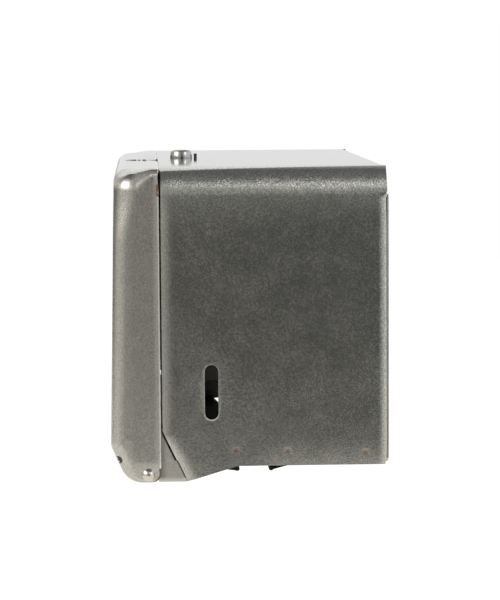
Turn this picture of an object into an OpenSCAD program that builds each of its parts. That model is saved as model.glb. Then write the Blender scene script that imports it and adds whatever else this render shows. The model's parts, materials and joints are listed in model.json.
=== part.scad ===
// Surface-mounted folded-tissue dispenser in sheet steel.
// A bent cabinet with a drop-front door on two rivets, a bottom throat and a cam lock in the top.
// x runs across the width, y = 0 is the wall and the front is towards -y, z is up.
// Heights are written from the bottom edge of the cabinet sides; on_wall() then puts the origin
// at the middle of the wall fixing holes.

/* [Cabinet] */
// Outside width across the cabinet sides
body_w = 298; // [250:1:360]
// Depth from the wall to the front edge of the cabinet sides
body_d = 119.8; // [112:0.2:150]
// Height from the bottom edge of the sides to the top
body_h = 157; // [145:1:220]
// Thickness of the steel sheet
sheet = 0.8; // [0.6:0.1:1.0]
// Outside radius of the bend between the top and each side
top_bend_r = 15; // [8:1:20]
// Outside radius of the flange bends
flange_bend_r = 2; // [1.5:0.1:3]
// Width of the return flanges beside the front opening
front_flange = 7; // [5:0.5:12]
// Width of the flanges that carry the back plate
back_flange = 14; // [8:1:24]
// Gap between the side flanges and the top's flange at the back
flange_notch = 1; // [0.5:0.1:2]

/* [Lower front of the sides] */
// How far the lowest corner of a side lies behind the front edge
nose_back = 13.3; // [10:0.1:16]
// How far that corner hangs below the bottom edge
nose_drop = 8; // [5:0.5:10]
// Radius of that corner
nose_r = 4; // [2:0.5:6]
// Length in depth of the sloped bottom edge behind that corner
slope_run = 26.5; // [20:0.5:32]
// Height at which the slanted front edge ends and the upright front edge begins
slant_rise = 20; // [16:0.5:26]

/* [Refill slots] */
// Width of the slot in each side
slot_w = 7.2; // [5:0.1:10]
// Length of that slot
slot_l = 29; // [20:1:40]
// Height of the slot's middle
slot_z = 39.2; // [34:0.2:60]
// Distance of the slot's middle behind the front edge
slot_back = 26.4; // [22:0.2:40]

/* [Throat] */
// Open gap between the rolled edges of the two throat lips
throat_gap = 16; // [12:0.5:22]
// Depth of each sloped lip
lip_run = 9; // [6:0.5:12]
// How far each lip edge hangs below its bend
lip_drop = 4; // [2:0.5:6]
// Radius of the rolled lip edges
lip_roll_r = 1.1; // [0.8:0.1:1.6]
// How much each lip is trimmed back at its ends
lip_trim = 15; // [8:1:25]
// Height of the upturned side flanges of the throat plates
pan_flange = 11; // [9:0.5:14]
// Height of the rear throat plate's underside above the bottom edge of the sides
rear_floor_z = 0.5; // [0:0.1:2]
// How far the rear plate's side flanges reach forward over its lip
rear_flange_fore = 3; // [1:0.5:6]

/* [Back plate and wall fixing] */
// How far the back plate stops short of the cabinet's sides
back_inset = 1.6; // [1:0.1:4]
// Height of the back plate's bottom edge
back_bottom = 1.3; // [0.5:0.1:6]
// How far the back plate's top edge lies below the cabinet's top
back_top_gap = 15; // [12:1:25]
// Size of the cut corners of the back plate
back_corner = 2; // [1:0.5:6]
// Spacing of the wall holes across the width
wall_hole_dx = 203.2; // [150:0.2:220]
// Spacing of the wall holes in height
wall_hole_dz = 76.2; // [50:0.2:100]
// Diameter of the wall holes
wall_hole_d = 6.5; // [4.5:0.1:8]
// Height of the middle of the wall holes
wall_hole_z = 70; // [60:1:80]

/* [Door] */
// How much wider the door is than the cabinet on each side
door_overhang = 0.6; // [0.6:0.1:1.2]
// Depth of the door at its top
door_d_top = 23.2; // [20:0.1:32]
// Depth of the door at its bottom
door_d_bottom = 25.5; // [22:0.1:34]
// Gap between the door's rim and the cabinet's front edge
door_gap = 0.8; // [0.5:0.1:2]
// How far the door's top lies below the cabinet's top, at the rim
door_top_step = 0.2; // [0:0.1:2]
// How far the door's top falls towards the front
door_top_fall = 1; // [0:0.1:2]
// How far the door's bottom lies below the bottom edge of the sides
door_drop = 8.6; // [8.2:0.1:10]
// Radius of the door's edges and ball corners
door_edge_r = 9; // [6:0.5:12]
// Radius of the door's bottom side edges at the rim
door_foot_r = 2; // [1.8:0.1:3]
// Radius of the lower front corner in side view
door_corner_r = 12; // [10:0.5:14]
// Height above the door's bottom at which the bevel of the front ends
door_bevel_rise = 20.5; // [18:0.5:26]
// How far the bevel brings the lower front corner back
door_bevel_run = 4.2; // [2:0.2:6]
// Radius that rounds the rim's lower end
door_rim_r = 6.5; // [5.5:0.1:7]
// Depth over which the rim runs straight
rim_depth = 4; // [2:0.5:6]
// Width of the butt seam across the door's top
door_seam_w = 0.6; // [0.4:0.1:1]
// Diameter of the drain hole in each lower front corner
drain_d = 4.4; // [3:0.1:5]
// Distance of the drain holes from the door's sides
drain_inset = 6.5; // [3.5:0.1:8]
// Distance of the drain holes up the bevel from the lower front corner's rounding
drain_up = 5.4; // [3:0.1:7]

/* [Hinge] */
// Distance of the hinge axis in front of the cabinet's front edge
hinge_fore = 7.1; // [6.5:0.1:8]
// Height of the hinge axis above the door's bottom
hinge_up = 4.4; // [4.2:0.1:5]
// Angle through which the door opens
door_open_a = 100; // [80:1:100]
// Diameter of the rivet's shank
rivet_d = 3.2; // [2.4:0.1:3.4]
// Diameter of the rivet's domed head
rivet_head_d = 6.4; // [5:0.1:8]
// Height of the rivet's domed head
rivet_head_h = 2; // [1.2:0.1:2.6]
// Diameter of the rivet's clinched inner end
rivet_tail_d = 5.2; // [4.4:0.1:6]
// Thickness of the rivet's clinched inner end
rivet_tail_h = 1; // [0.6:0.1:1.6]
// Radius of the eye round each rivet
eye_r = 3.1; // [2.7:0.1:3.2]
// Distance of the ear's neck from the hinge axis, on the side of the cabinet
neck_back = 2; // [1.8:0.1:2.4]
// Gap in depth between the ear and the slanted front edge of the side
ear_gap = 1.2; // [0.6:0.1:2]
// Outside diameter of the thin washer in each hinge
washer_d = 5.2; // [4.6:0.1:5.4]

/* [Lock] */
// Distance of the lock's axis behind the cabinet's front edge
lock_back = 13.7; // [13:0.1:20]
// Diameter of the lock's head
lock_head_d = 12.7; // [11:0.1:16]
// Height of the lock's head
lock_head_h = 4.4; // [3:0.1:6]
// Radius of the head's rounded shoulder
lock_shoulder_r = 2.6; // [1:0.1:2.8]
// Diameter of the lock's barrel
barrel_d = 10.6; // [9.6:0.1:10.8]
// Length of the barrel below the cabinet's top
barrel_l = 17; // [14:0.5:24]
// Diameter of the turning plug
plug_d = 7.6; // [7:0.1:8]
// Width of the key slot
key_w = 1.4; // [1:0.1:2]
// Length of the key slot
key_l = 5; // [4:0.1:5.2]
// Number of wafers in the plug
wafer_count = 4; // [3:1:5]
// Thickness of each wafer
wafer_t = 0.9; // [0.6:0.1:1.2]
// Distance from one wafer to the next
wafer_pitch = 2.4; // [2:0.1:2.6]
// Across flats of the lock's hexagon nut
nut_af = 13; // [12.5:0.1:14]
// Thickness of that nut
nut_h = 4; // [3:0.5:5]
// Thickness of the toothed washer above the nut
lock_washer_t = 0.7; // [0.5:0.1:1.2]
// Diameter of that washer over its teeth
lock_washer_d = 13.4; // [13:0.1:14]
// Number of teeth on that washer
lock_teeth = 12; // [8:1:16]
// Diameter of the round notches between the teeth
tooth_notch_d = 1.2; // [0.8:0.1:1.4]
// Thickness of the stop plate between barrel and cam
stop_t = 1.2; // [0.8:0.1:1.6]
// Angle that the stop lug under the barrel takes up
stop_lug_a = 50; // [40:5:70]
// Angle through which the stop plate lets the lock turn
lock_travel = 90; // [80:5:100]
// Spare angle between the lug and the stop plate at each end of the turn
stop_spare_a = 3; // [2:0.5:5]
// Side of the plug's square post that carries the stop plate and the cam
post_w = 3.8; // [3.4:0.1:4.2]
// Diameter of the cam screw's shank
screw_d = 2.4; // [2:0.1:2.6]
// Length of the cam screw's shank
screw_l = 4.6; // [4:0.1:5]
// Diameter of the cam screw's head
screw_head_d = 6.8; // [6:0.1:7.4]
// Height of the cam screw's head
screw_head_h = 1.6; // [1.2:0.1:2]
// Diameter of the washer under that head
cam_washer_d = 7.6; // [7:0.1:8]
// Reach of the cam from the lock's axis to its tip
cam_l = 18; // [16:0.5:21]
// Width of the cam
cam_w = 8; // [7:0.5:10]
// Thickness of the cam and the strike
cam_t = 1.6; // [1.2:0.1:2]
// Distance of the guide pin behind the lock's axis
pin_back = 8.2; // [8.2:0.1:14]
// Diameter of the guide pin
pin_d = 1.8; // [1.4:0.1:2]
// Height of the guide pin above the top
pin_h = 2.4; // [1:0.1:4]

/* [Strike] */
// Distance of the strike's near edge from the lock's axis, sideways
strike_x = 10; // [10:0.5:12]
// Length of the strike's foot under the door's top
strike_foot = 8; // [6:0.5:11]
// Width of the strike
strike_w = 11; // [8:0.5:12]
// Height of the hook that the cam holds
hook_h = 5; // [4:0.5:7]

/* [Clearances] */
// Radial clearance of turning fits
run_fit = 0.05; // [0.02:0.01:0.08]
// Clearance between faces that slide past each other
slide_gap = 0.1; // [0.05:0.05:0.2]
// Clearance round parts that swing
swing_gap = 0.4; // [0.3:0.1:0.6]

/* [Hidden] */
// Smoothness of round parts, and of the blended door
$fn = 64;
blend_fn = 24;
corner_steps = 4;
round_steps = 6;
// Extra length of cutting bodies past the faces that they cut
cut = 1;

side_x = body_w / 2;
inner_x = side_x - sheet;
front_y = -body_d;
back_bend_y = -sheet - flange_bend_r;
back_top = body_h - back_top_gap;
back_mid_x = side_x - flange_bend_r;

nose = [front_y + nose_back, -nose_drop];
slope_end = [nose[0] + slope_run, 0];
slant_top = [front_y, slant_rise];
front_flange_z = slant_rise + flange_bend_r;
front_flange_top = body_h - top_bend_r - flange_bend_r;

// Front throat plate: front edge, nose bend, lip bend and lip edge, as its underside in side view
pan_z = -nose_drop;
front_bend = [slope_end[0] - lip_run, -lip_run * nose_drop / slope_run];
front_lip = [front_bend[0] + lip_run, front_bend[1] - lip_drop];
rear_lip = [front_lip[0] + throat_gap + 2 * lip_roll_r, front_lip[1]];
rear_bend = [rear_lip[0] + lip_run, rear_floor_z];
pan_side_x = inner_x - sheet;

door_x = side_x + door_overhang;
rim_y = front_y - door_gap;
door_top = body_h - door_top_step;
door_bottom = -door_drop;
door_front_top = rim_y - door_d_top;
door_front_bottom = rim_y - door_d_bottom;
corner_y = door_front_bottom + door_bevel_run + door_corner_r;
corner_z = door_bottom + door_corner_r;
bevel_y = door_front_bottom + door_edge_r;
bevel_z = door_bottom + door_bevel_rise;
bevel_a = atan(door_bevel_run / (door_bevel_rise - door_corner_r));
door_inner_top = door_top - sheet;

hinge = [front_y - hinge_fore, door_bottom + hinge_up];
washer_t = door_overhang - slide_gap;
// Circle swept by the rear edge of the door's bottom, and the arm that passes above it
bottom_end = hinge_fore - door_gap - door_rim_r + sqrt(sheet * (2 * door_rim_r - sheet));
sweep_r = norm([bottom_end, hinge_up - sheet]);
arm_z = hinge[1] + sweep_r + swing_gap;
arm_top = slant_rise - 2 * ear_gap;
ear_slope = (slant_rise + nose_drop) / nose_back;
ear_low_z = pan_z + pan_flange;
ear_low_y = slant_top[0] + (slant_rise - ear_low_z) / ear_slope - ear_gap;

lock_y = front_y + lock_back;
head_bottom = body_h;
barrel_bottom = body_h - barrel_l;
nut_top = body_h - sheet - lock_washer_t;
stop_top = barrel_bottom - slide_gap;
cam_top = stop_top - stop_t;
cam_bottom = cam_top - cam_t;
plug_top = head_bottom + lock_head_h - sheet / 2;
key_bottom = plug_top - barrel_l;
screw_seat = cam_bottom - sheet;
// Sector under the barrel that the stop lug fills, and the wider one cut from the stop plate
lug_from = 180 - stop_lug_a / 2;
lug_to = 180 + stop_lug_a / 2;
stop_from = lug_from - lock_travel - stop_spare_a;
stop_to = lug_to + stop_spare_a;
// Height of the lowest wafer's underside, and the half width of the wafers
wafer_low = key_bottom + wafer_t;
wafer_half = plug_d / 2 - sheet;
strike_z = cam_bottom - swing_gap - cam_t;
hook_y = lock_y + cam_w / 2 + swing_gap;
cam_sweep_y = lock_y - sqrt(cam_l * cam_l - strike_x * strike_x) - swing_gap;
strike_web_y = min(rim_y - door_gap, cam_sweep_y) - cam_t;

steel = "#7d7f7a";
dark_steel = "#6b6d69";
bright_steel = "#a9aaa6";
chrome = "#d5d6d4";
brass = "#b59a5b";

module on_wall() {
    translate([0, 0, -wall_hole_z]) children();
}

// Extrudes an outline drawn in x and z along y, from y0 to y1
module along_y(y0, y1) {
    translate([0, y1, 0]) rotate([90, 0, 0]) linear_extrude(y1 - y0) children();
}

// Extrudes an outline drawn in y and z along x, from x0 to x1
module along_x(x0, x1) {
    translate([x0, 0, 0]) rotate([90, 0, 90]) linear_extrude(x1 - x0) children();
}

// Extrudes an outline drawn in x and y upwards, from z0 to z1
module along_z(z0, z1) {
    translate([0, 0, z0]) linear_extrude(z1 - z0) children();
}

module on_both_sides() {
    children();
    mirror([1, 0, 0]) children();
}

// Points of an arc that rounds the corner b between the directions to a and to c
function rounded(a, b, c, r) =
    let (u = (a - b) / norm(a - b))
    let (v = (c - b) / norm(c - b))
    let (half = acos(u * v) / 2)
    let (m = b + (u + v) / norm(u + v) * r / sin(half))
    let (p = b + u * r / tan(half) - m)
    let (q = b + v * r / tan(half) - m)
    [for (i = [0 : round_steps])
        let (w = p * (1 - i / round_steps) + q * i / round_steps)
        m + w / norm(w) * r];

// Quarter ring of sheet, between +x and +y
module bend_2d(r) {
    intersection() {
        difference() {
            circle(r);
            circle(r - sheet);
        }
        square(r);
    }
}

// Outline of a side, seen from the side
module side_outline() {
    polygon(concat(
        [[0, 0], [0, body_h], [front_y, body_h], slant_top],
        rounded(slant_top, nose, slope_end, nose_r),
        [slope_end]
    ));
}

// Top and sides in front view, filled, with round upper corners
module arch_2d(half_w, top, r, bottom) {
    translate([-half_w, bottom]) square([2 * half_w, top - r - bottom]);
    translate([-half_w + r, bottom]) square([2 * (half_w - r), top - bottom]);
    for (s = [-1, 1]) translate([s * (half_w - r), top - r]) circle(r);
}

module obround_2d(w, l) {
    square([w, l - w], center = true);
    for (s = [-1, 1]) translate([0, s * (l - w) / 2]) circle(w / 2);
}

// Bent top and sides, cut to the side outline
module cabinet_wrap() {
    intersection() {
        along_y(front_y, -2 * sheet) difference() {
            arch_2d(side_x, body_h, top_bend_r, -nose_drop - cut);
            arch_2d(inner_x, body_h - sheet, top_bend_r - sheet, -nose_drop - 2 * cut);
        }
        along_x(-side_x - cut, side_x + cut) side_outline();
    }
}

// Return flange at the back edge of a side
module side_back_flange() {
    along_z(back_bottom, back_top - flange_notch) {
        translate([back_mid_x, back_bend_y]) bend_2d(flange_bend_r);
        translate([back_mid_x - back_flange, -2 * sheet]) square([back_flange, sheet]);
    }
}

// Return flange beside the front opening
module side_front_flange() {
    along_z(front_flange_z, front_flange_top) {
        translate([back_mid_x, front_y + flange_bend_r]) mirror([0, 1]) bend_2d(flange_bend_r);
        translate([back_mid_x - front_flange, front_y]) square([front_flange, sheet]);
    }
}

// Room cut in a side for the bend of its front flange and of its back flange
module side_relief() {
    along_z(front_flange_z, front_flange_top)
        translate([side_x - 2 * sheet, front_y - cut]) square([3 * sheet, flange_bend_r + cut]);
    along_z(-cut, back_top)
        translate([side_x - 2 * sheet, back_bend_y]) square([3 * sheet, flange_bend_r + cut]);
}

// Room cut in the top for the bend of its back flange
module top_relief() {
    flat_x = side_x - top_bend_r;
    translate([-flat_x, back_bend_y, body_h - 2 * sheet]) cube([2 * flat_x, flange_bend_r + cut, 3 * sheet]);
}

// Down-turned flange at the back edge of the top
module top_back_flange() {
    flat_x = side_x - top_bend_r;
    along_x(-flat_x, flat_x) {
        translate([back_bend_y, body_h - flange_bend_r]) bend_2d(flange_bend_r);
        translate([-2 * sheet, back_top]) square([sheet, back_top_gap - flange_bend_r]);
    }
}

module refill_slots() {
    translate([0, front_y + slot_back, slot_z])
        along_x(-side_x - cut, side_x + cut) obround_2d(slot_w, slot_l);
}

module body_shell() {
    color(steel) on_wall() difference() {
        union() {
            difference() {
                cabinet_wrap();
                on_both_sides() side_relief();
                top_relief();
            }
            on_both_sides() side_back_flange();
            on_both_sides() side_front_flange();
            top_back_flange();
        }
        refill_slots();
        translate([0, lock_y, barrel_bottom]) cylinder(d = barrel_d + 2 * slide_gap, h = 2 * barrel_l);
        translate([0, lock_y + pin_back, barrel_bottom]) cylinder(d = pin_d + 2 * run_fit, h = 2 * barrel_l);
    }
}

module wall_holes() {
    for (i = [-1, 1], j = [-1, 1])
        translate([i * wall_hole_dx / 2, 0, wall_hole_z + j * wall_hole_dz / 2])
            rotate([90, 0, 0]) cylinder(d = wall_hole_d, h = 4 * sheet, center = true);
}

module back_plate() {
    half_w = side_x - back_inset;
    color(dark_steel) on_wall() difference() {
        along_y(-sheet, 0) polygon([
            [-half_w + back_corner, back_bottom], [half_w - back_corner, back_bottom],
            [half_w, back_bottom + back_corner], [half_w, back_top - back_corner],
            [half_w - back_corner, back_top], [-half_w + back_corner, back_top],
            [-half_w, back_top - back_corner], [-half_w, back_bottom + back_corner]
        ]);
        wall_holes();
    }
}

// A bent strip of sheet in side view, standing on the given underside points
module strip_2d(points) {
    above = [for (i = [len(points) - 1 : -1 : 0]) points[i] + [0, sheet]];
    polygon(concat(points, above));
}

// Cuts the corners of a lip, seen from above, between its bend and its edge
module lip_trims(bend_y, edge_y) {
    past = edge_y + sign(edge_y - bend_y) * (lip_roll_r + cut);
    on_both_sides() along_z(2 * pan_z, rear_floor_z + 2 * sheet) polygon([
        [inner_x + cut, bend_y], [inner_x - lip_trim, edge_y],
        [inner_x - lip_trim, past], [inner_x + cut, past]
    ]);
}

module lip_roll(edge) {
    along_x(-inner_x + lip_trim / 2, inner_x - lip_trim / 2)
        translate(edge + [0, lip_roll_r]) circle(lip_roll_r);
}

// Room that the door's bottom needs about the hinge, up to the open door
module door_sweep_2d() {
    circle(sweep_r + swing_gap);
    rotate(door_open_a - 90) translate([0, -nose_drop])
        square([hinge_up + swing_gap, nose_drop]);
}

// Side flange of the front plate, which runs forward as the hinge ear, clear of the sweeping door
module hinge_ear_2d() {
    ear_rise = arm_top - ear_low_z;
    neck_y = hinge[0] + neck_back;
    difference() {
        union() {
            difference() {
                polygon([
                    [neck_y, pan_z], nose, front_bend,
                    front_bend + [lip_run, 0], front_bend + [lip_run, pan_flange],
                    front_bend + [0, pan_flange], [ear_low_y, ear_low_z],
                    [ear_low_y - ear_rise / ear_slope, arm_top],
                    [hinge[0] - eye_r, (arm_z + arm_top) / 2],
                    [hinge[0] - eye_r, hinge[1]], [neck_y, hinge[1]]
                ]);
                intersection() {
                    translate(hinge) door_sweep_2d();
                    translate([neck_y, pan_z - cut]) square(arm_z - pan_z + cut);
                }
            }
            translate(hinge) circle(eye_r);
        }
        translate(hinge) circle(rivet_d / 2 + run_fit);
    }
}

module front_throat_plate() {
    color(bright_steel) on_wall() {
        difference() {
            union() {
                along_x(-inner_x, inner_x)
                    strip_2d([[front_y, pan_z], nose, front_bend, front_lip]);
                lip_roll(front_lip);
            }
            lip_trims(front_bend[0], front_lip[0]);
        }
        on_both_sides() along_x(pan_side_x, inner_x) hinge_ear_2d();
    }
}

module rear_throat_plate() {
    foot_y = back_bend_y - sheet;
    color(dark_steel) on_wall() {
        difference() {
            union() {
                along_x(-inner_x, inner_x)
                    strip_2d([rear_lip, rear_bend, [foot_y, rear_floor_z]]);
                lip_roll(rear_lip);
            }
            lip_trims(rear_bend[0], rear_lip[0]);
        }
        on_both_sides() along_x(pan_side_x, inner_x)
            translate([rear_bend[0] - rear_flange_fore, rear_floor_z])
                square([foot_y - rear_bend[0] + rear_flange_fore, pan_flange]);
        along_x(-back_mid_x + back_flange + cut, back_mid_x - back_flange - cut)
            translate([foot_y, rear_floor_z]) square([-sheet - foot_y, sheet]);
        along_x(-back_mid_x + back_flange + cut, back_mid_x - back_flange - cut)
            translate([-2 * sheet, rear_floor_z]) square([sheet, pan_flange]);
    }
}

module blend_ball(x, y, z, r) {
    translate([x, y, z]) sphere(r, $fn = blend_fn);
}

module rim_disc(x, y, z, r) {
    translate([x, y, z]) rotate([90, 0, 0]) cylinder(r = r, h = rim_depth, $fn = blend_fn);
}

// Drawn form of the door: ball corners above, a bevelled and shrinking corner below
module door_form(inset, back_y) {
    hull() for (s = [-1, 1]) {
        top_z = door_top - door_edge_r;
        edge_x = s * (door_x - door_edge_r);
        blend_ball(edge_x, door_front_top + door_edge_r, top_z - door_top_fall, door_edge_r - inset);
        rim_disc(edge_x, back_y, top_z, door_edge_r - inset);
        blend_ball(edge_x, bevel_y, bevel_z, door_edge_r - inset);
        for (i = [0 : corner_steps]) {
            a = bevel_a + (90 - bevel_a) * i / corner_steps;
            r = door_edge_r + (door_foot_r - door_edge_r) * i / corner_steps;
            blend_ball(
                s * (door_x - r),
                corner_y - (door_corner_r - r) * cos(a),
                corner_z - (door_corner_r - r) * sin(a),
                r - inset
            );
        }
        rim_disc(s * (door_x - door_foot_r), back_y, door_bottom + door_foot_r, door_foot_r - inset);
    }
}

// Material below the rounded lower end of the rim
module rim_corner_cut() {
    along_x(-door_x - cut, door_x + cut)
        translate([rim_y - door_rim_r, door_bottom + door_rim_r])
            difference() {
                translate([0, -door_rim_r - cut]) square(door_rim_r + cut);
                circle(door_rim_r);
            }
}

module drain_hole() {
    translate([door_x - drain_inset, corner_y, corner_z])
        rotate([bevel_a, 0, 0]) translate([0, -door_corner_r, drain_up])
            rotate([90, 0, 0]) cylinder(d = drain_d, h = 2 * door_bevel_run + 2 * door_edge_r, center = true);
}

module door_shell() {
    color(steel) on_wall() difference() {
        door_form(0, rim_y);
        door_form(sheet, rim_y + cut);
        rim_corner_cut();
        on_both_sides() drain_hole();
        translate([0, hinge[0], hinge[1]]) rotate([0, 90, 0])
            cylinder(d = rivet_d + 2 * run_fit, h = 2 * door_x + cut, center = true);
        translate([-door_seam_w / 2, door_front_top + door_edge_r, door_inner_top - door_top_fall - cut])
            cube([door_seam_w, door_d_top, 2 * sheet + door_top_fall + cut]);
    }
}

// Height just under the falling top of the door, at a depth y
function under_top(y) =
    let (fall_run = door_d_top - door_edge_r - rim_depth)
    let (share = max(rim_y - rim_depth - y, 0) / fall_run)
    door_inner_top - slide_gap - door_top_fall * share;

// Bracket inside the door's top whose hook reaches back behind the cam
module door_strike() {
    foot_y = strike_web_y - strike_foot;
    web_back_y = strike_web_y + cam_t;
    color(bright_steel) on_wall() along_x(strike_x, strike_x + strike_w) {
        polygon([
            [foot_y, under_top(foot_y) - cam_t], [web_back_y, under_top(web_back_y) - cam_t],
            [web_back_y, under_top(web_back_y)], [foot_y, under_top(foot_y)]
        ]);
        translate([strike_web_y, strike_z])
            square([cam_t, under_top(web_back_y) - cam_t / 2 - strike_z]);
        translate([strike_web_y, strike_z])
            square([hook_y + cam_t - strike_web_y, cam_t]);
        translate([hook_y, strike_z])
            square([cam_t, hook_h]);
    }
}

// Part of a ball that rises h above a round base
module dome(d, h) {
    ball_r = (d * d / 4 + h * h) / (2 * h);
    intersection() {
        translate([0, 0, h - ball_r]) sphere(ball_r);
        cylinder(d = d, h = h);
    }
}

// Domed rivet through the door, washer and ear, clinched inside
module hinge_rivet() {
    color(chrome) on_wall() translate([0, hinge[0], hinge[1]]) rotate([0, 90, 0]) {
        translate([0, 0, door_x + slide_gap]) dome(rivet_head_d, rivet_head_h);
        translate([0, 0, pan_side_x]) cylinder(d = rivet_d, h = door_x + slide_gap - pan_side_x);
        translate([0, 0, pan_side_x - rivet_tail_h]) cylinder(d = rivet_tail_d, h = rivet_tail_h);
    }
}

module hinge_rivet_right() {
    hinge_rivet();
}

module hinge_rivet_left() {
    mirror([1, 0, 0]) hinge_rivet();
}

module hinge_washer() {
    color(bright_steel) on_wall() translate([inner_x, hinge[0], hinge[1]]) rotate([0, 90, 0])
        difference() {
            cylinder(d = washer_d, h = washer_t);
            translate([0, 0, -cut]) cylinder(d = rivet_d + 2 * run_fit, h = washer_t + 2 * cut);
        }
}

module hinge_washer_right() {
    hinge_washer();
}

module hinge_washer_left() {
    mirror([1, 0, 0]) hinge_washer();
}

module at_lock() {
    on_wall() translate([0, lock_y, 0]) children();
}

module lock_head_2d() {
    r = lock_head_d / 2;
    square([r - lock_shoulder_r, lock_head_h]);
    square([r, lock_head_h - lock_shoulder_r]);
    translate([r - lock_shoulder_r, lock_head_h - lock_shoulder_r]) intersection() {
        circle(lock_shoulder_r);
        square(lock_shoulder_r);
    }
}

// Pie slice that reaches well past radius r
module sector_2d(r, from, to) {
    arc = [for (i = [0 : round_steps]) from + (to - from) * i / round_steps];
    polygon(concat([[0, 0]], [for (a = arc) 2 * r * [cos(a), sin(a)]]));
}

// Head and barrel, with the lug below the barrel that stops the turn
module lock_housing() {
    lug_bottom = barrel_bottom - stop_t;
    color(chrome) at_lock() difference() {
        union() {
            translate([0, 0, head_bottom]) rotate_extrude() lock_head_2d();
            translate([0, 0, barrel_bottom]) cylinder(d = barrel_d, h = barrel_l);
            along_z(lug_bottom, barrel_bottom) intersection() {
                circle(d = barrel_d);
                sector_2d(barrel_d / 2, lug_from, lug_to);
            }
        }
        translate([0, 0, lug_bottom - cut])
            cylinder(d = plug_d + 2 * run_fit, h = body_h + lock_head_h - lug_bottom + 2 * cut);
    }
}

module lock_toothed_washer() {
    color(bright_steel) at_lock() along_z(nut_top, nut_top + lock_washer_t) difference() {
        circle(d = lock_washer_d);
        circle(d = barrel_d + 2 * slide_gap);
        for (i = [0 : lock_teeth - 1]) rotate((i + 1 / 2) * 360 / lock_teeth)
            translate([lock_washer_d / 2, 0]) circle(d = tooth_notch_d);
    }
}

module lock_nut() {
    color(bright_steel) at_lock() translate([0, 0, nut_top - nut_h]) difference() {
        cylinder(d = nut_af / cos(30), h = nut_h, $fn = 6);
        translate([0, 0, -cut]) cylinder(d = barrel_d + 2 * run_fit, h = nut_h + 2 * cut);
    }
}

module each_wafer() {
    for (i = [0 : wafer_count - 1]) translate([0, 0, wafer_low + i * wafer_pitch]) children();
}

// Key slot, long in depth when the cam points to the front
module key_slot_2d(spare) {
    square([key_w + 2 * spare, key_l + 2 * spare], center = true);
}

module lock_plug() {
    color(brass) at_lock() difference() {
        union() {
            translate([0, 0, barrel_bottom]) cylinder(d = plug_d, h = plug_top - barrel_bottom);
            along_z(cam_bottom, barrel_bottom) square(post_w, center = true);
        }
        along_z(key_bottom, plug_top + cut) key_slot_2d(0);
        each_wafer() translate([-wafer_half, -plug_d, -run_fit])
            cube([2 * wafer_half, 2 * plug_d, wafer_t + 2 * run_fit]);
        translate([0, 0, screw_seat]) cylinder(d = screw_d + 2 * run_fit, h = screw_l + swing_gap);
    }
}

module lock_wafers() {
    color(brass) at_lock() each_wafer() difference() {
        intersection() {
            cylinder(d = plug_d - 2 * run_fit, h = wafer_t);
            translate([-wafer_half + run_fit, -plug_d, 0])
                cube([2 * (wafer_half - run_fit), 2 * plug_d, wafer_t]);
        }
        translate([0, 0, -cut]) along_z(0, wafer_t + 2 * cut) key_slot_2d(slide_gap);
    }
}

// Plate on the plug's post whose missing sector runs against the barrel's lug
module lock_stop_plate() {
    color(bright_steel) at_lock() along_z(cam_top, stop_top) difference() {
        circle(d = barrel_d);
        square(post_w + 2 * run_fit, center = true);
        difference() {
            sector_2d(barrel_d / 2, stop_from, stop_to);
            circle(d = plug_d);
        }
    }
}

// Cam bar: it points to the front when open, and turns sideways in front of the strike's hook
module lock_cam() {
    color(dark_steel) at_lock() along_z(cam_bottom, cam_top) difference() {
        union() {
            circle(cam_w / 2);
            translate([-cam_w / 2, cam_w / 2 - cam_l]) square([cam_w, cam_l - cam_w / 2]);
            translate([0, cam_w / 2 - cam_l]) circle(cam_w / 2);
        }
        square(post_w + 2 * run_fit, center = true);
    }
}

module cam_washer() {
    color(bright_steel) at_lock() along_z(screw_seat, cam_bottom) difference() {
        circle(d = cam_washer_d);
        circle(d = screw_d + 2 * run_fit);
    }
}

module cam_screw() {
    color(bright_steel) at_lock() translate([0, 0, screw_seat]) difference() {
        union() {
            translate([0, 0, -screw_head_h]) cylinder(d = screw_head_d, h = screw_head_h);
            cylinder(d = screw_d, h = screw_l);
        }
        translate([0, 0, -screw_head_h]) cube([2 * screw_head_d, sheet, screw_head_h], center = true);
    }
}

module guide_pin() {
    color(dark_steel) at_lock() translate([0, pin_back, body_h - sheet])
        cylinder(d = pin_d, h = sheet + pin_h);
}

body_shell();
back_plate();
front_throat_plate();
rear_throat_plate();
door_shell();
door_strike();
hinge_rivet_right();
hinge_rivet_left();
hinge_washer_right();
hinge_washer_left();
lock_housing();
lock_toothed_washer();
lock_nut();
lock_plug();
lock_wafers();
lock_stop_plate();
lock_cam();
cam_washer();
cam_screw();
guide_pin();
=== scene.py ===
"""Looks of the folded-tissue dispenser: bent sheet, drawn door, lock head, rivets, finishes and studio."""
import json
import math

import bmesh
import bpy
import numpy as np
from mathutils import Matrix, Vector
from mathutils.geometry import delaunay_2d_cdt
from mathutils.kdtree import KDTree


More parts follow.
